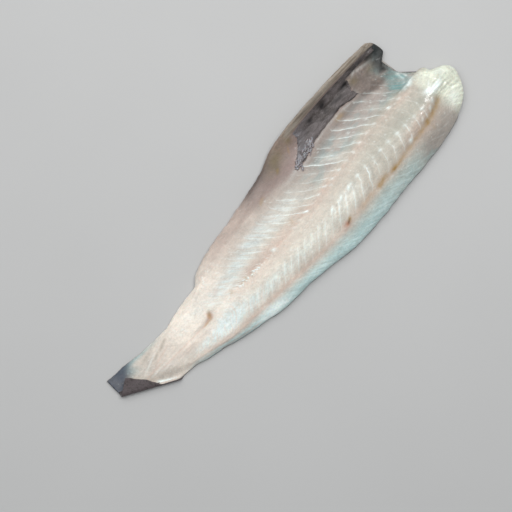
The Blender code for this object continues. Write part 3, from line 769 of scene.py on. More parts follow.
def rosy_amount(share, along, level):
    """Strength of the rosy flesh."""
    mid, _, pin = long_lines(along)
    rose = 0.1 + 0.16 * between(0.4, 0.49, 0.03, share) * smooth(205, 300, along)
    rose += 0.45 * bell(level - mid + 2, 6) * between(282, 470, 12, along)
    rose += 0.55 * bell(level - pin + 1, 5) * between(95, 430, 40, along)
    return rose + bands(share, along, ROSY_BANDS) + blots(along, level, ROSY_PATCHES)


def stains(along, level):
    """Strength of the olive, brown, red and dark stains."""
    mid, _, pin = long_lines(along)
    wander = 1.7 * layered(along / 5, level / 5, 91, 3)
    brown = blots(along + wander, level + 0.8 * wander, BROWN_STAINS)
    brown += 0.12 * bell(level - pin, 3.6) * between(330, 482, 10, along)
    red = blots(along, level, RED_STAINS)
    for distance, width, start, end, soft, strength in (
        (level - pin - 0.5, 2.2, 95, 290, 20, 0.08),
        (level - mid, 1, 48, 128, 8, 0.2),
        (level - mid, 0.9, 212, 330, 8, 0.08),
        (level - through(RED_LINE, along), 0.9, 92, 166, 6, 0.3),
    ):
        red += strength * bell(distance, width) * between(start, end, soft, along)
    return blots(along, level, OLIVE_STAINS), brown, red, blots(along, level, DARK_STAINS)


def white_and_highlight_amount(share, along, level, spoke, film):
    """Strength of the nubs, grains and torn skins, which are white, and of the painted highlights and painted
    glints.
    """
    white = np.clip(nubs(along, level) * (0.92 + 0.34 * between(255, 316, 8, along)), 0, 1.2)
    white += 1.2 * grit(along, level) + blots(along, level, WHITE_AND_HIGHLIGHT_PATCHES)
    torn = smooth(-0.5, 0.5, grain(along / 3.5, level / 3.5, 93))
    rings = 0.5 * bell(spoke - 7.5, 1.6) + bell(spoke - 12.8, 1.9)
    white += (0.16 + 0.6 * torn) * rings * smooth(-0.2, 0.5, (along - 467) / 14 - (level - 34) / 30)
    white += 0.06 * film * torn + 0.55 * bell(share - 0.988, 0.011) * between(52, 150, 10, along)
    # Painted glints: small wet sparkles scattered over the flesh
    painted_glint = grain(along / 1.6 + 0.5 * level, level / 1.3, 95) + grain(along / 3.1, level / 2.6, 96)
    return white + 0.3 * smooth(1.05, 1.5, painted_glint) * fall(0.7, 0.76, share)


def brightness(along, level, end):
    """Share of its full brightness that the flesh has: darker towards the tail, painted shade and painted light of
    the patches, painted shade towards the belly edge, painted light and shade along the ridges of the loin end,
    and random tone.
    """
    dim = through(TAIL_DIM, along) - blots(along, level, PAINTED_SHADE_PATCHES)
    # Painted shade: the belly wall darkens towards the belly edge
    dim *= 1 - 0.62 * fall(0, 13, through(BELLY_EDGE, along) - level) * between(248, 290, 14, along)
    # Painted light and shade along the ridges that spread over the loin end
    dim *= 1 + 0.2 * end * (1 - 0.7 * smooth(-8, 4, level)) * fan(along, level)
    dim *= 1 + 0.1 * layered(along / 15, level / 9, 87, 2)
    return dim * (1 + 0.09 * layered(along / 4, level / 2.4, 88, 2))


def flesh_masks(share, along, level):
    """Amounts of each finish of the flesh, in the order of FLESH_VALUES."""
    band = through(BAND_LINE, along)
    margin = back_margin(share, along, level)
    # Feathery milky patches, partly painted reflection of pale light
    feather = bands(share, along, FEATHER_AND_REFLECTION_BANDS) + blots(along, level, FEATHER_AND_REFLECTION_PATCHES)
    # Bluish margin along the back edge, partly thin flesh and partly painted reflection of pale light, and the
    # bluish belly edge near the tail
    blue = margin * smooth(58, 110, along) * (1 - 0.25 * smooth(340, 390, along))
    blue = blue * (1 - 0.95 * smooth(400, 446, along)) + blots(along, level, TAIL_BLUE)
    front = through(FRONT_AMOUNT, along) * (1 - 0.26 * fall(band - 8, band + 4, level))
    # Painted shade on the steep back-edge slope of the front: the greyish see-through colour is laid over it
    slope = margin * smooth(400, 440, along) * fall(482, 498, along)
    soft = smooth(SHARE_MID + 0.005, SHARE_MID + 0.075, share) * fall(SHARE_WALL - 0.08, SHARE_WALL, share)
    clear = soft * smooth(262, 350, along) * 0.92 + 0.8 * slope
    end = smooth(470, 490, along + 0.25 * level) * fall(0.45, 0.5, share) * (1 - 0.75 * slope)
    spoke = np.hypot(along - 467, (level - 34) / 1.12) + 1.3 * grain(along / 5, level / 5, 98)
    film = fall(8, 18, spoke) + blots(along, level, FILM_PATCHES)

    near_lining = smooth(285, 325, along)
    slow = smooth(0.565, 0.8, share + 0.012 * layered(along / 12, level / 8, 89, 2))
    wall = (1 - near_lining) * slow + near_lining * smooth(0.61, 0.745, share)
    lip = smooth(0.93, 0.94, share) * smooth(322, 338, along) * fall(475, 480, along)
    thin = smooth(447, 470, along - 0.25 * (level - 62) + 3 * grain(along / 6, level / 6, 90))
    thin = 0.9 * fall(11, 34, along - 0.9 * (level - 14)) + thin * smooth(0.7, 0.745, share) * (1 - lip)
    return [sheet_count(along, level), share, sheet_amount(share, along, level), feather,
            rosy_amount(share, along, level), blue, front, clear, wall * smooth(125, 200, along),
            smooth(205, 300, along), nape_lobe(along, level), film, end, thin, *stains(along, level),
            white_and_highlight_amount(share, along, level, spoke, film), lip, brightness(along, level, end)]


def operation(name, turned=False):
    """Method that adds one Math node, with its two inputs turned round where that is asked."""
    def method(self, *others):
        inputs = (*others, self) if turned else (self, *others)
        return self.board.add("ShaderNodeMath", {"operation": name}, dict(enumerate(inputs)))
    return method


class Value:
    """Socket of a node tree that takes part in Python expressions; each operation adds its Math node."""

    def __init__(self, board, socket):
        self.board = board
        self.socket = socket

    __add__ = __radd__ = operation("ADD")
    __mul__ = __rmul__ = operation("MULTIPLY")
    __sub__ = operation("SUBTRACT")
    __rsub__ = operation("SUBTRACT", turned=True)
    __truediv__ = operation("DIVIDE")
    __rtruediv__ = operation("DIVIDE", turned=True)
    fract = operation("FRACT")
    least = operation("MINIMUM")

    def clipped(self):
        return self.board.add("ShaderNodeClamp", {}, {"Value": self})

    def step(self, low, high):
        """Soft step from 0 at low to 1 at high."""
        settings = {"interpolation_type": "SMOOTHSTEP"}
        return self.board.add("ShaderNodeMapRange", settings, {"Value": self, 1: low, 2: high})


class Board:
    """Node tree of one material, whose nodes come from the method add."""

    def __init__(self, name, colours):
        self.material = bpy.data.materials.new(name)
        self.material.use_nodes = True
        self.tree = self.material.node_tree
        self.tree.nodes.clear()
        self.colours = colours
        self.carried = {}

    def add(self, kind, settings, inputs, output=0):
        """Adds a node, with its settings first and then its sockets' values or links."""
        node = self.tree.nodes.new(kind)
        for key, setting in settings.items():
            setattr(node, key, setting)
        for key, given in inputs.items():
            if isinstance(given, Value):
                self.tree.links.new(given.socket, node.inputs[key])
            else:
                node.inputs[key].default_value = given
        return Value(self, node.outputs[output])

    def read(self, name, output="Fac"):
        """Value that the mesh carries; its node is added once."""
        if name not in self.carried:
            settings = {"attribute_type": "GEOMETRY", "attribute_name": name}
            self.carried[name] = self.add("ShaderNodeAttribute", settings, {}, output)
        return self.carried[name]

    def cloud(self, sizes, shift=0, detail=2, roughness=0.5, distortion=0, at=None):
        """Noise from 0 to 1 whose lumps have the given sizes along, across and up."""
        scale = tuple(1 / size for size in sizes)
        inputs = {0: at or self.read("lay", "Vector"), 1: scale, 2: (shift, shift * 0.7, shift * 1.3)}
        moved = self.add("ShaderNodeVectorMath", {"operation": "MULTIPLY_ADD"}, inputs)
        inputs = {"Vector": moved, "Scale": 1, "Detail": detail, "Roughness": roughness, "Distortion": distortion}
        return self.add("ShaderNodeTexNoise", {}, inputs)

    def tone(self, name, factor=1):
        """Colour of four numbers from a property."""
        return tuple(channel * factor for channel in getattr(self.colours, name)) + (1,)

    def mix(self, one, two, share):
        """Colour between two colours, which are given or named."""
        one, two = (self.tone(colour) if isinstance(colour, str) else colour for colour in (one, two))
        settings = {"data_type": "RGBA", "clamp_factor": True}
        return self.add("ShaderNodeMix", settings, {0: share, 6: one, 7: two}, 2)

    def coated(self, colour, layers):
        """Colour under layers of other colours, each with its amount."""
        for other, amount in layers:
            colour = self.mix(colour, other, amount)
        return colour

    def scaled(self, colour, value):
        """Colour times a value."""
        return self.add("ShaderNodeVectorMath", {"operation": "SCALE"}, {0: colour, 3: value})

    def finish(self, colour, roughness, height, more):
        """Adds the shader, with a bump from the height in millimetres, and gives the material."""
        bump = self.add("ShaderNodeBump", {}, {"Height": height, "Distance": MM, "Strength": 1})
        inputs = {"Base Color": colour, "Roughness": roughness, "Normal": bump} | more
        shader = self.add("ShaderNodeBsdfPrincipled", {}, inputs)
        node = self.tree.nodes.new("ShaderNodeOutputMaterial")
        self.tree.links.new(shader.socket, node.inputs["Surface"])
        return self.material


def flesh_material(colours):
    """Moist flesh: cream and rose between white sheets, with bluish thin parts and brown stains, and with painted
    shade, painted highlights and painted reflections.
    """
    board = Board("moist_cod_flesh", colours)
    read, mix, cloud = board.read, board.mix, board.cloud
    ahead = read("front")
    sheet = read("sheet")
    phase = (read("flake") + (cloud((15, 7, 9), 3) - 0.5) * 0.4).fract()
    thin_line = 1 - phase.least(1 - phase).step(0, 0.1)
    behind = (1 - phase.step(0.02, 0.5)) * 0.27
    spread = board.add("ShaderNodeCombineXYZ", {}, {"X": read("flake") * 2.6, "Y": read("share") * 11})
    streak = cloud((1, 1, 1), 4, 4, 0.62, 0.5, spread)
    fibre = cloud((13, 1.5, 4), 2, 3, 0.62)
    stripe = cloud((45, 1.6, 2), 5, 2, 0.6)
    mottle = cloud((26, 15, 20), 6, 3, 0.55)
    blotch = cloud((4.6, 3.4, 4), 12, 4, 0.65)
    speck = cloud((2.2, 1.7, 2), 8, 2, 0.65)

    belly_side = read("share").step(0.49, 0.53)
    creamy = ahead.step(0.05, 0.4) * (1 - belly_side) + ahead.step(0.45, 0.85) * belly_side
    milky = mix("sheet", "milky", creamy)
    clear = mix("clear", "glassy", mottle.step(0.48, 0.66))
    # Belly wall, darker towards the front partly as painted shade
    wall = mix("wall", "shaded_wall_front", read("deep"))
    # Nape lobe, dark partly as painted shade
    nape = mix("nape", board.tone("nape", 1.6), blotch.step(0.4, 0.66) * mottle)
    # Cut edge of the belly flap, dark partly as painted shade
    lip = mix("lip", "lip_pale", stripe.step(0.36, 0.6))
    thin = mix("thin", "nape_film", ahead)
    flesh = board.coated(mix("cream", "front", ahead), (
        ("rose", read("rose") * (mottle * 0.8 + blotch * 0.8)),
        (clear, read("clear") * (0.66 + blotch * 0.6)),
        # Feathery milky patches, partly painted reflection of pale light
        (milky, (read("feather") * (streak.step(0.36, 0.62) * 0.75 + 0.25)).clipped()),
        (wall, read("wall") * (0.8 + blotch * 0.35)),
        # Bluish margin and its whitish streaks, partly painted reflection of pale light
        ("margin", read("blue") * (0.6 + streak * 0.7)),
        ("sheet", read("blue") * streak.step(0.4, 0.68) * 0.4),
        (nape, read("nape") * (0.84 + streak * 0.2)),
        ("olive", read("olive") * (0.35 + mottle * 1.1)),
        ("film", read("film") * (0.4 + streak.step(0.36, 0.62) * 0.5)),
        ("sheet", ((thin_line + behind) * sheet).clipped()),
        ("end", read("end") * (0.6 + streak.step(0.4, 0.62) * 0.4)),
        (lip, read("lip")),
        (thin, read("thin") * (0.8 + mottle * 0.4)),
    ))
    # Painted shade in the hollows between the white sheets of the flakes
    painted_hollow_shade = phase.step(0.03, 0.35) * (1 - phase.step(0.62, 0.97)) * sheet * (1 - belly_side * 0.45)
    shade = 1.02 - painted_hollow_shade * 0.2 + (fibre - 0.5) * 0.18 + (speck - 0.5) * 0.38 + (blotch - 0.5) * 0.3
    brown = (read("brown") * (0.1 + blotch * 1.8)).clipped()
    # The flesh is scaled by the painted shade between the sheets and by the mesh value of painted shade, painted
    # light and tone
    flesh = board.coated(board.scaled(flesh, shade * read("dim")), (
        # White of the nubs and membranes with the painted highlights and glints, laid on after the painted shade
        # so that it is not darkened
        (board.tone("sheet", 1.08), read("white") * (0.4 + speck)),
        ("red", read("red") * (0.5 + speck)),
        ("brown", brown),
        ("dark", brown.step(0.9, 1.5) * 0.5 + read("dark")),
    ))
    dry = (read("nape") + read("wall") * 0.5 + read("lip")).clipped()
    roughness = 0.4 + (mottle - 0.5) * 0.2 + (speck - 0.5) * 0.3 + dry * 0.12
    height = fibre * 0.2 + speck * 0.34 + blotch * 0.42 + streak * 0.12 + thin_line * sheet * 0.1
    return board.finish(flesh, roughness, height, {
        "Subsurface Weight": 0.12, "Subsurface Radius": (1, 0.62, 0.48), "Subsurface Scale": 0.001,
        "Coat Weight": 0.42 - dry * 0.3, "Coat Roughness": 0.12, "Specular IOR Level": 0.25,
    })


def skin_material(colours):
    """Moist skin: speckled grey brown on the back, paler on the belly, with its side line and tiny scales."""
    board = Board("moist_cod_skin", colours)
    patch = board.cloud((11, 8, 9), 2, 3, 0.6)
    speck = board.cloud((2.6, 2.2, 2.4), 5, 3, 0.65)
    fine = board.cloud((0.8, 0.8, 0.8), 7, 2, 0.6)
    back = 1 - (board.read("share") + (patch - 0.5) * 0.22).step(0.5, 0.86)
    skin = board.coated(board.tone("skin_belly"), (
        ("skin_back", back),
        ("skin_spot", speck.step(0.5, 0.66) * (0.25 + back * 0.6)),
        ("skin_pale", fine.step(0.56, 0.76) * 0.35),
        ("skin_pale", board.read("line") * 0.8),
    ))
    lay = board.read("lay", "Vector")
    scales = board.add("ShaderNodeTexVoronoi", {"feature": "F1"}, {"Vector": lay, "Scale": 0.75})
    height = scales * 0.18 + fine * 0.1 + speck * 0.1
    return board.finish(board.scaled(skin, 0.85 + patch * 0.3), 0.4 + (fine - 0.5) * 0.3, height, {
        "Coat Weight": 0.2, "Coat Roughness": 0.16, "Specular IOR Level": 0.25,
    })


def lining_material(colours):
    """Moist dark lining, mottled, with paler torn parts at its rear end."""
    board = Board("dark_belly_lining", colours)
    patch = board.cloud((13, 7, 9), 4, 3, 0.6, 0.6)
    streak = board.cloud((9, 1.5, 5), 6, 3, 0.65, 0.8)
    fine = board.cloud((1.5, 1.1, 1.5), 9, 2, 0.6)
    dark = (patch * 0.55 + streak * 0.45).step(0.4, 0.62)
    film = board.coated(board.tone("lining_pale"), (
        ("lining", dark),
        ("veil", fine.step(0.52, 0.7) * (1 - dark * 0.7) * 0.5),
        ("lining_spot", board.read("spot") * (0.4 + fine * 0.9)),
        ("veil", board.read("pale") * streak.step(0.34, 0.62)),
        ("shred", (board.read("torn") * patch.step(0.38, 0.62)).clipped() * 0.75),
    ))
    height = streak * 0.35 + fine * 0.12 + patch * 0.2
    return board.finish(board.scaled(film, 0.7 + fine * 0.6), 0.46 + (fine - 0.5) * 0.3, height, {
        "Coat Weight": 0.2, "Coat Roughness": 0.15, "Specular IOR Level": 0.2,
    })


def shred_material(colours):
    """Bluish white shreds of the torn lining."""
    board = Board("torn_membrane_shreds", colours)
    streak = board.cloud((3, 1.2, 2), 3, 2, 0.6)
    film = board.mix("shred", "veil", streak.step(0.36, 0.62))
    return board.finish(film, 0.36 + (streak - 0.5) * 0.2, streak * 0.15, {
        "Coat Weight": 0.4, "Coat Roughness": 0.12, "Subsurface Weight": 0.15, "Subsurface Scale": 0.0008,
    })


def floor_material(colours):
    """Plain pale floor with a faint unevenness."""
    board = Board("plain_pale_floor", colours)
    cloud = board.cloud((0.15, 0.15, 0.15), 1, at=board.add("ShaderNodeTexCoord", {}, {}, "Object"))
    paint = board.mix("floor", board.tone("floor", 0.97), cloud)
    return board.finish(paint, 0.65 + cloud * 0.1, cloud * 0.02, {})


def number(name, description, default, kind=bpy.props.FloatProperty, **more):
    """Property with its name, description and default."""
    return kind(name=name, description=description, default=default, **more)


def length(name, description, millimetres):
    """Property of a length in metres, whose default is given in millimetres."""
    return number(name, description, millimetres * MM, unit="LENGTH", precision=4, min=0)


def paint(name, description, colour):
    """Property of a colour."""
    return number(name, description, colour, bpy.props.FloatVectorProperty, subtype="COLOR", size=3, min=0, max=1)


class CodSizes(bpy.types.PropertyGroup):
    """Sizes of the side that a user would change."""

    flake_depth: length("Flake depth", "How deep the relief between two white sheets is", 0.45)
    curl_rise: length("Curl rise", "How far the free edge of the belly flap stands up", 15)
    wrinkle: length("Wrinkle height", "Height of the wrinkles in the thin skins over the flesh", 0.42)
    ragged: length("Ragged edge", "How far the two long edges wander", 0.55)
    skin_thick: length("Skin thickness", "Thickness of the skin under the flesh", 1.2)
    skin_reach: length("Skin reach", "How far the skin reaches beyond the flesh", 0.4)
    lining_thick: length("Lining thickness", "Thickness of the dark lining", 0.8)
    fold_turn: number("Fold turn", "How far the tail corner is folded over", math.radians(174), subtype="ANGLE",
                      unit="ROTATION")
    shreds: number("Shreds", "Number of torn shreds of the lining", 40, bpy.props.IntProperty, min=0, max=200)


class CodColours(bpy.types.PropertyGroup):
    """Colours of the side and of the floor."""

    cream: paint("Cream", "Flesh of the rear", (0.88, 0.8, 0.7))
    front: paint("Loin", "Flesh of the front", (0.425, 0.425, 0.36))
    # Also laid over the steep back-edge slope of the front as painted shade
    rose: paint("Rose", "Rosy flesh between the sheets", (0.62, 0.475, 0.395))
    clear: paint("Clear flesh", "Greyish see-through flesh between the sheets", (0.405, 0.35, 0.315))
    glassy: paint("Glassy flesh", "Bluish see-through flesh between the sheets", (0.31, 0.365, 0.352))
    sheet: paint("Sheet", "White sheets between the flakes", (0.83, 0.91, 0.88))
    milky: paint("Milky flesh", "Milky flesh of the middle and the front", (0.82, 0.82, 0.73))
    # The margin's pale bluish tint is partly the thin flesh's own tone, partly painted reflection of pale light on
    # the wet surface
    margin: paint("Margin", "Thin bluish flesh of the back edge", (0.385, 0.545, 0.54))
    # Both belly wall colours are partly painted shade, the front one most, and partly the wall's own duller,
    # pinker tone
    wall: paint("Belly wall", "Rear of the smooth inside of the belly wall", (0.52, 0.425, 0.37))
    shaded_wall_front: paint("Deep belly wall", "Front of the smooth inside of the belly wall", (0.275, 0.205, 0.185))
    olive: paint("Olive", "Yellowed parts of the belly wall", (0.19, 0.145, 0.08))
    # The nape's dark tone is partly painted shade, partly its own pinkish beige
    nape: paint("Nape", "Lobe of the nape", (0.19, 0.153, 0.132))
    film: paint("Film", "Bluish skin over the flesh of the nape", (0.15, 0.325, 0.325))
    end: paint("Loin end", "Whitish end of the loin", (0.81, 0.85, 0.705))
    # Both lip colours are partly painted shade, partly the cut edge's own beige
    lip: paint("Lip", "Cut edge of the belly flap", (0.245, 0.2, 0.155))
    lip_pale: paint("Pale lip", "Pale streaks of the cut edge", (0.38, 0.33, 0.275))
    thin: paint("Tail end", "Dark bluish grey where the tail is thinnest", (0.048, 0.07, 0.115))
    nape_film: paint("Nape end", "Dark grey where the nape is thinnest", (0.026, 0.031, 0.031))
    brown: paint("Brown stain", "Brown along the pin bones", (0.385, 0.245, 0.095))
    dark: paint("Dark stain", "Core of the darkest spots", (0.12, 0.055, 0.022))
    red: paint("Blood", "Red halo of a spot", (0.5, 0.2, 0.12))
    skin_back: paint("Skin of the back", "Grey brown skin", (0.092, 0.074, 0.077))
    skin_belly: paint("Skin of the belly", "Pale skin", (0.42, 0.39, 0.35))
    skin_spot: paint("Skin speckles", "Dark speckles of the skin", (0.045, 0.038, 0.036))
    skin_pale: paint("Pale specks", "Pale specks and the side line", (0.3, 0.27, 0.25))
    lining: paint("Lining", "Dark lining of the belly", (0.05, 0.041, 0.036))
    lining_spot: paint("Lining spots", "Darkest spots of the lining", (0.012, 0.01, 0.01))
    lining_pale: paint("Pale lining", "Paler parts of the lining", (0.118, 0.101, 0.099))
    veil: paint("Veil", "Palest parts of the lining", (0.185, 0.163, 0.165))
    shred: paint("Shreds", "Torn bluish shreds", (0.31, 0.305, 0.33))
    floor: paint("Floor", "Plain floor", (0.5, 0.5, 0.495))


class CodStage(bpy.types.PropertyGroup):
    """Camera and light."""

    lens: number("Lens", "Focal length of the camera", 75.6, subtype="DISTANCE_CAMERA")
    aim: number("Aim", "Point at the middle of the picture", (-0.0463, -0.0065, 0.012),
                bpy.props.FloatVectorProperty, subtype="TRANSLATION", unit="LENGTH")
    stand: number("Stand", "Where the camera stands from its aim", (-0.052, -0.094, 1.195),
                  bpy.props.FloatVectorProperty, subtype="TRANSLATION", unit="LENGTH")
    key_power: number("Key power", "Power of the main soft light", 27, unit="POWER")
    gleam_power: number("Gleam power", "Power of the light that gleams on the loin", 4.6, unit="POWER")
    sky: number("Sky", "Strength of the pale light from all round", 0.34, subtype="FACTOR")


class COD_OT_flesh(bpy.types.Operator):
    """Make the flesh of the side"""

    bl_idname = "cod.flesh"
    bl_label = "Make Flesh"

    def execute(self, context):
        columns = columns_of(FLAKE_PARTS)
        inner = np.clip(columns, TAIL + UNDER_INSET, HEAD - UNDER_INSET)
        rows = rows_of(INNER_ROWS)
        upper = self.face(columns, rows, upper_face, context.scene.cod_sizes)
        under = self.face(inner, FEW_ROWS, under_face, context.scene.cod_sizes)
        points, faces = shell(upper, under, rows, FEW_ROWS, up=True, bulge=0.22)
        made_piece("cod_flesh", points, faces, FLESH_VALUES, flesh_material(context.scene.cod_colours),
                   ["flesh"])
        return {"FINISHED"}

    def face(self, columns, rows, surface, sizes):
        """One face of the flesh, with its values."""
        middle, share = np.meshgrid(columns, rows, indexing="ij")
        flat = surface(middle, share, sizes)
        return channels(folded(flat, sizes), flat, flesh_masks(share, flat[..., 0], flat[..., 1]))


class COD_OT_skin(bpy.types.Operator):
    """Make the skin under the flesh, which shows at the folded tail corner and along the edges"""

    bl_idname = "cod.skin"
    bl_label = "Make Skin"

    def execute(self, context):
        sizes = context.scene.cod_sizes
        columns = columns_of(FLAKE_PARTS[::2])
        rows = rows_of(SKIN_ROWS)
        lower = self.face(columns, rows, FLESH_BASE, sizes)
        upper = self.face(columns, FEW_ROWS, FLESH_BASE - sizes.skin_thick / MM, sizes)
        points, faces = shell(lower, upper, rows, FEW_ROWS, up=False, bulge=0.2)
        made_piece("cod_skin", points, faces, ("share", "line"), skin_material(context.scene.cod_colours),
                   ["skin"])
        return {"FINISHED"}

    def face(self, columns, rows, depth, sizes):
        """One face of the skin, with its values."""
        middle, share = np.meshgrid(columns, rows, indexing="ij")
        flat = under_face(middle, share, sizes, depth)
        reach = sizes.skin_reach / MM
        edge = smooth(0.985, 1, share) - fall(0, 0.015, share)
        uneven = 1 + 0.45 * layered(flat[..., 0] / 4, 0, 101, 2)
        flat[..., 1] += reach * edge * uneven + ragged(flat[..., 0], share, sizes.ragged / MM)
        flat[..., 0] += reach * smooth(HEAD - 2, HEAD, middle) - 0.4 * fall(TAIL, TAIL + 2, middle)
        line_at = 0.4 + 0.05 * smooth(300, 480, flat[..., 0])
        line = bell(share - line_at, 0.01) * smooth(10, 60, flat[..., 0])
        return channels(folded(flat, sizes), flat, [share, line])


class COD_OT_lining(bpy.types.Operator):
    """Make the dark lining of the belly wall"""

    bl_idname = "cod.lining"
    bl_label = "Make Lining"

    def execute(self, context):
        sizes = context.scene.cod_sizes
        rows = np.linspace(LINING_ROWS[0][0], LINING_ROWS[-1][0], LINING_INNER_ROWS)
        part = np.linspace(0, 1, LINING_COLUMNS)
        few = np.linspace(rows[0] + LINING_UNDERCUT, rows[-1] - LINING_UNDERCUT, LINING_FEW_ROWS)
        top = self.face(part, rows, sizes, sizes.lining_thick / MM)
        under = self.face(part, few, sizes, -LINING_SUNK)
        points, faces = shell(top, under, fitted(rows), fitted(few), up=True, bulge=0.1)
        made_piece("cod_lining", points, faces, ("spot", "pale", "torn"),
                   lining_material(context.scene.cod_colours), ["belly_lining"])
        return {"FINISHED"}

    def face(self, part, rows, sizes, above):
        """One face of the lining over the flesh, with its values."""
        first = through(LINING_ROWS, rows)
        first += 3.6 * layered(rows * 90, 0, 111, 2)
        last = LINING_WIDE_END + 3.5 * smooth(0.74, 0.88, rows)
        last += (LINING_STRIP_END - last) * smooth(0.884, 0.898, rows)
        last += 1.9 * layered(rows * 60, 0, 113, 3)
        along_wanted = first[None, :] + part[:, None] * (last - first)[None, :]
        share = rows[None, :] + 0 * along_wanted
        middle = middle_for(along_wanted, share)
        low = fall(LINING_ROWS[0][0], LINING_ROWS[0][0] + 0.035, share)
        share = share - low * 0.009 * layered(along_wanted / 5, 0, 115, 3)
        share = share - low * 0.02 * smooth(400, 418, along_wanted)
        flat = upper_face(middle, share, sizes)
        edge = (smooth(0, 0.02, part) * fall(0.98, 1, part))[:, None]
        folds = 0.5 * layered((flat[..., 0] + 0.6 * flat[..., 1]) / 11, flat[..., 1] / 2.4, 121, 3)
        lumps = 0.35 * layered(flat[..., 0] / 6, flat[..., 1] / 4, 125, 2)
        if above > 0:
            flat[..., 2] += above * (0.25 + 0.75 * edge) + 0.2 + 0.3 * edge + (folds + lumps) * edge
        else:
            flat[..., 2] += above
        along, level = flat[..., 0], flat[..., 1]
        spot = blots(along, level, LINING_DARK)
        pale = blots(along, level, LINING_PALE)
        edge = along - first[None, :]
        torn = blots(along, level, LINING_TORN)
        torn = torn + 0.7 * bell(edge, 4.5) + 0.25 * bell(edge, 14)
        return channels(flat, flat, [spot, pale, torn])


def fitted(values):
    """The values as places that run from 0 to 1."""
    return (values - values[0]) / (values[-1] - values[0])


def middle_for(along, share):
    """Place on the mid line whose flake line passes a distance along at a share of the width."""
    low = np.full(along.shape, TAIL)
    high = np.full(along.shape, HEAD)
    for _ in range(HALVINGS):
        half = 0.5 * (low + high)
        found, _ = place(half, share)
        low = np.where(found < along, half, low)
        high = np.where(found < along, high, half)
    return 0.5 * (low + high)


class COD_OT_shreds(bpy.types.Operator):
    """Make the torn shreds at the rear end of the lining"""

    bl_idname = "cod.shreds"
    bl_label = "Make Shreds"

    def execute(self, context):
        sizes = context.scene.cod_sizes
        draw = np.random.default_rng(131)
        points = []
        faces = []
        for _ in range(sizes.shreds):
            at = draw.uniform(*SHRED_ALONG)
            share = SHRED_SHARE + draw.uniform(*SHRED_SPREAD) + 0.001 * (at - 330)
            turn, long, wide = (draw.uniform(*limits) for limits in (SHRED_TURN, SHRED_LONG, SHRED_WIDE))
            strand = self.strand(at, share, turn, long, wide, draw, sizes)
            start = sum(len(one) for one in points)
            rings, around = strand.shape[:2]
            index = start + np.arange(rings * around).reshape(rings, around)
            index = np.concatenate([index, index[:, :1]], axis=1)
            points.append(strand.reshape(-1, 3))
            faces += [tuple(face) for face in sheet_faces(index)]
            faces.append(tuple(index[0, :-1]))
            faces.append(tuple(index[-1, :-1][::-1]))
        points = np.concatenate(points)
        points = np.concatenate([points, points], axis=1)
        made_piece("membrane_shreds", points, faces, (), shred_material(context.scene.cod_colours),
                   [])
        return {"FINISHED"}

    def strand(self, at, share, turn, long, wide, draw, sizes):
        """Rings of one flat shred that lies on the surface with its ends tucked in."""
        t = np.linspace(-0.5, 0.5, SHRED_RINGS)
        bend = draw.uniform(-0.5, 0.5)
        along = at + long * t * math.cos(turn)
        over = share + (long * t * math.sin(turn) + bend * long * (0.25 - t * t)) / SIDE_WIDTH
        path = upper_face(middle_for(along, over), over, sizes)
        taper = np.sqrt(np.clip(1 - (2 * t) ** 2, 0.02, 1))
        path[:, 2] += 1.1 * taper + 0.35
        ahead = np.gradient(path, axis=0)
        side = np.cross(ahead / np.linalg.norm(ahead, axis=1)[:, None], UPWARDS)
        side = side / np.linalg.norm(side, axis=1)[:, None]
        angles = np.linspace(0, 2 * math.pi, SHRED_AROUND + 1)[:-1]
        flat = side[:, None, :] * np.cos(angles)[None, :, None] * wide
        thick = np.sin(angles)[None, :, None] * UPWARDS * wide * 0.5
        return path[:, None, :] + (flat + thick) * taper[:, None, None]


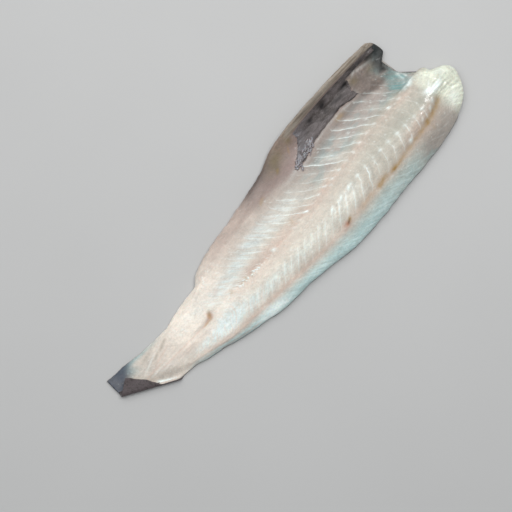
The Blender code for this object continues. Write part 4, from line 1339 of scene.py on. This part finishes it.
class COD_OT_stage(bpy.types.Operator):
    """Make the floor, the lights and the camera"""

    bl_idname = "cod.stage"
    bl_label = "Make Stage"

    def execute(self, context):
        stage = context.scene.cod_stage
        mesh = bpy.data.meshes.new("floor")
        corners = [(x * FLOOR_REACH, y * FLOOR_REACH, 0) for x, y in ((-1, -1), (1, -1), (1, 1), (-1, 1))]
        mesh.from_pydata(corners, [], [(0, 1, 2, 3)])
        mesh.materials.append(floor_material(context.scene.cod_colours))
        floor = bpy.data.objects.new("floor", mesh)
        floor.location.z = -FLOOR_GAP * MM
        context.scene.collection.objects.link(floor)

        aim = Vector(stage.aim)
        self.lamp("key_light", aim + Vector(KEY_AT), aim, KEY_SIZE, stage.key_power)
        self.lamp("gleam_light", aim + Vector(GLEAM_AT), aim + Vector(GLEAM_AIM), GLEAM_SIZE, stage.gleam_power)
        world = bpy.data.worlds.new("pale_sky")
        world.use_nodes = True
        back = world.node_tree.nodes["Background"]
        back.inputs["Color"].default_value = SKY_COLOUR
        back.inputs["Strength"].default_value = stage.sky
        context.scene.world = world
        context.scene.view_settings.view_transform = "Standard"

        lens = bpy.data.cameras.new("camera")
        lens.sensor_width = 36
        lens.lens = stage.lens
        lens.clip_end = 20
        camera = bpy.data.objects.new("camera", lens)
        back = Vector(stage.stand).normalized()
        right = Vector((1, -1, 0)).normalized()
        right = (right - back * right.dot(back)).normalized()
        up = back.cross(right)
        turn = Matrix((right, up, back)).transposed()
        camera.matrix_world = Matrix.Translation(aim + Vector(stage.stand)) @ turn.to_4x4()
        context.scene.collection.objects.link(camera)
        context.scene.camera = camera
        return {"FINISHED"}

    def lamp(self, name, place_of, aim, size, power):
        """Soft rectangular light that points at its aim."""
        light = bpy.data.lights.new(name, "AREA")
        light.shape = "RECTANGLE"
        light.size, light.size_y = size
        light.energy = power
        lamp = bpy.data.objects.new(name, light)
        lamp.location = place_of
        lamp.rotation_euler = (aim - place_of).to_track_quat("-Z", "Y").to_euler()
        bpy.context.scene.collection.objects.link(lamp)


class COD_PT_side(bpy.types.Panel):
    """Panel that lists the pieces, their sizes and their colours"""

    bl_idname = "COD_PT_side"
    bl_label = "Salted Cod Side"
    bl_space_type = "VIEW_3D"
    bl_region_type = "UI"
    bl_category = "Cod"

    def draw(self, context):
        scene = context.scene
        for group in (scene.cod_sizes, scene.cod_colours, scene.cod_stage):
            box = self.layout.box()
            for name in group.__annotations__:
                box.prop(group, name)
        for operator in OPERATORS:
            self.layout.operator(operator.bl_idname)


OPERATORS = (COD_OT_flesh, COD_OT_skin, COD_OT_lining, COD_OT_shreds, COD_OT_stage)
GROUPS = (CodSizes, CodColours, CodStage)


def register():
    for group in GROUPS + OPERATORS + (COD_PT_side,):
        bpy.utils.register_class(group)
    bpy.types.Scene.cod_sizes = bpy.props.PointerProperty(type=CodSizes)
    bpy.types.Scene.cod_colours = bpy.props.PointerProperty(type=CodColours)
    bpy.types.Scene.cod_stage = bpy.props.PointerProperty(type=CodStage)


def unregister():
    del bpy.types.Scene.cod_stage
    del bpy.types.Scene.cod_colours
    del bpy.types.Scene.cod_sizes
    for group in (COD_PT_side,) + OPERATORS[::-1] + GROUPS[::-1]:
        bpy.utils.unregister_class(group)


def main():
    register()
    bpy.ops.cod.flesh()
    bpy.ops.cod.skin()
    bpy.ops.cod.lining()
    bpy.ops.cod.shreds()
    bpy.ops.cod.stage()


if __name__ == "__main__":
    main()
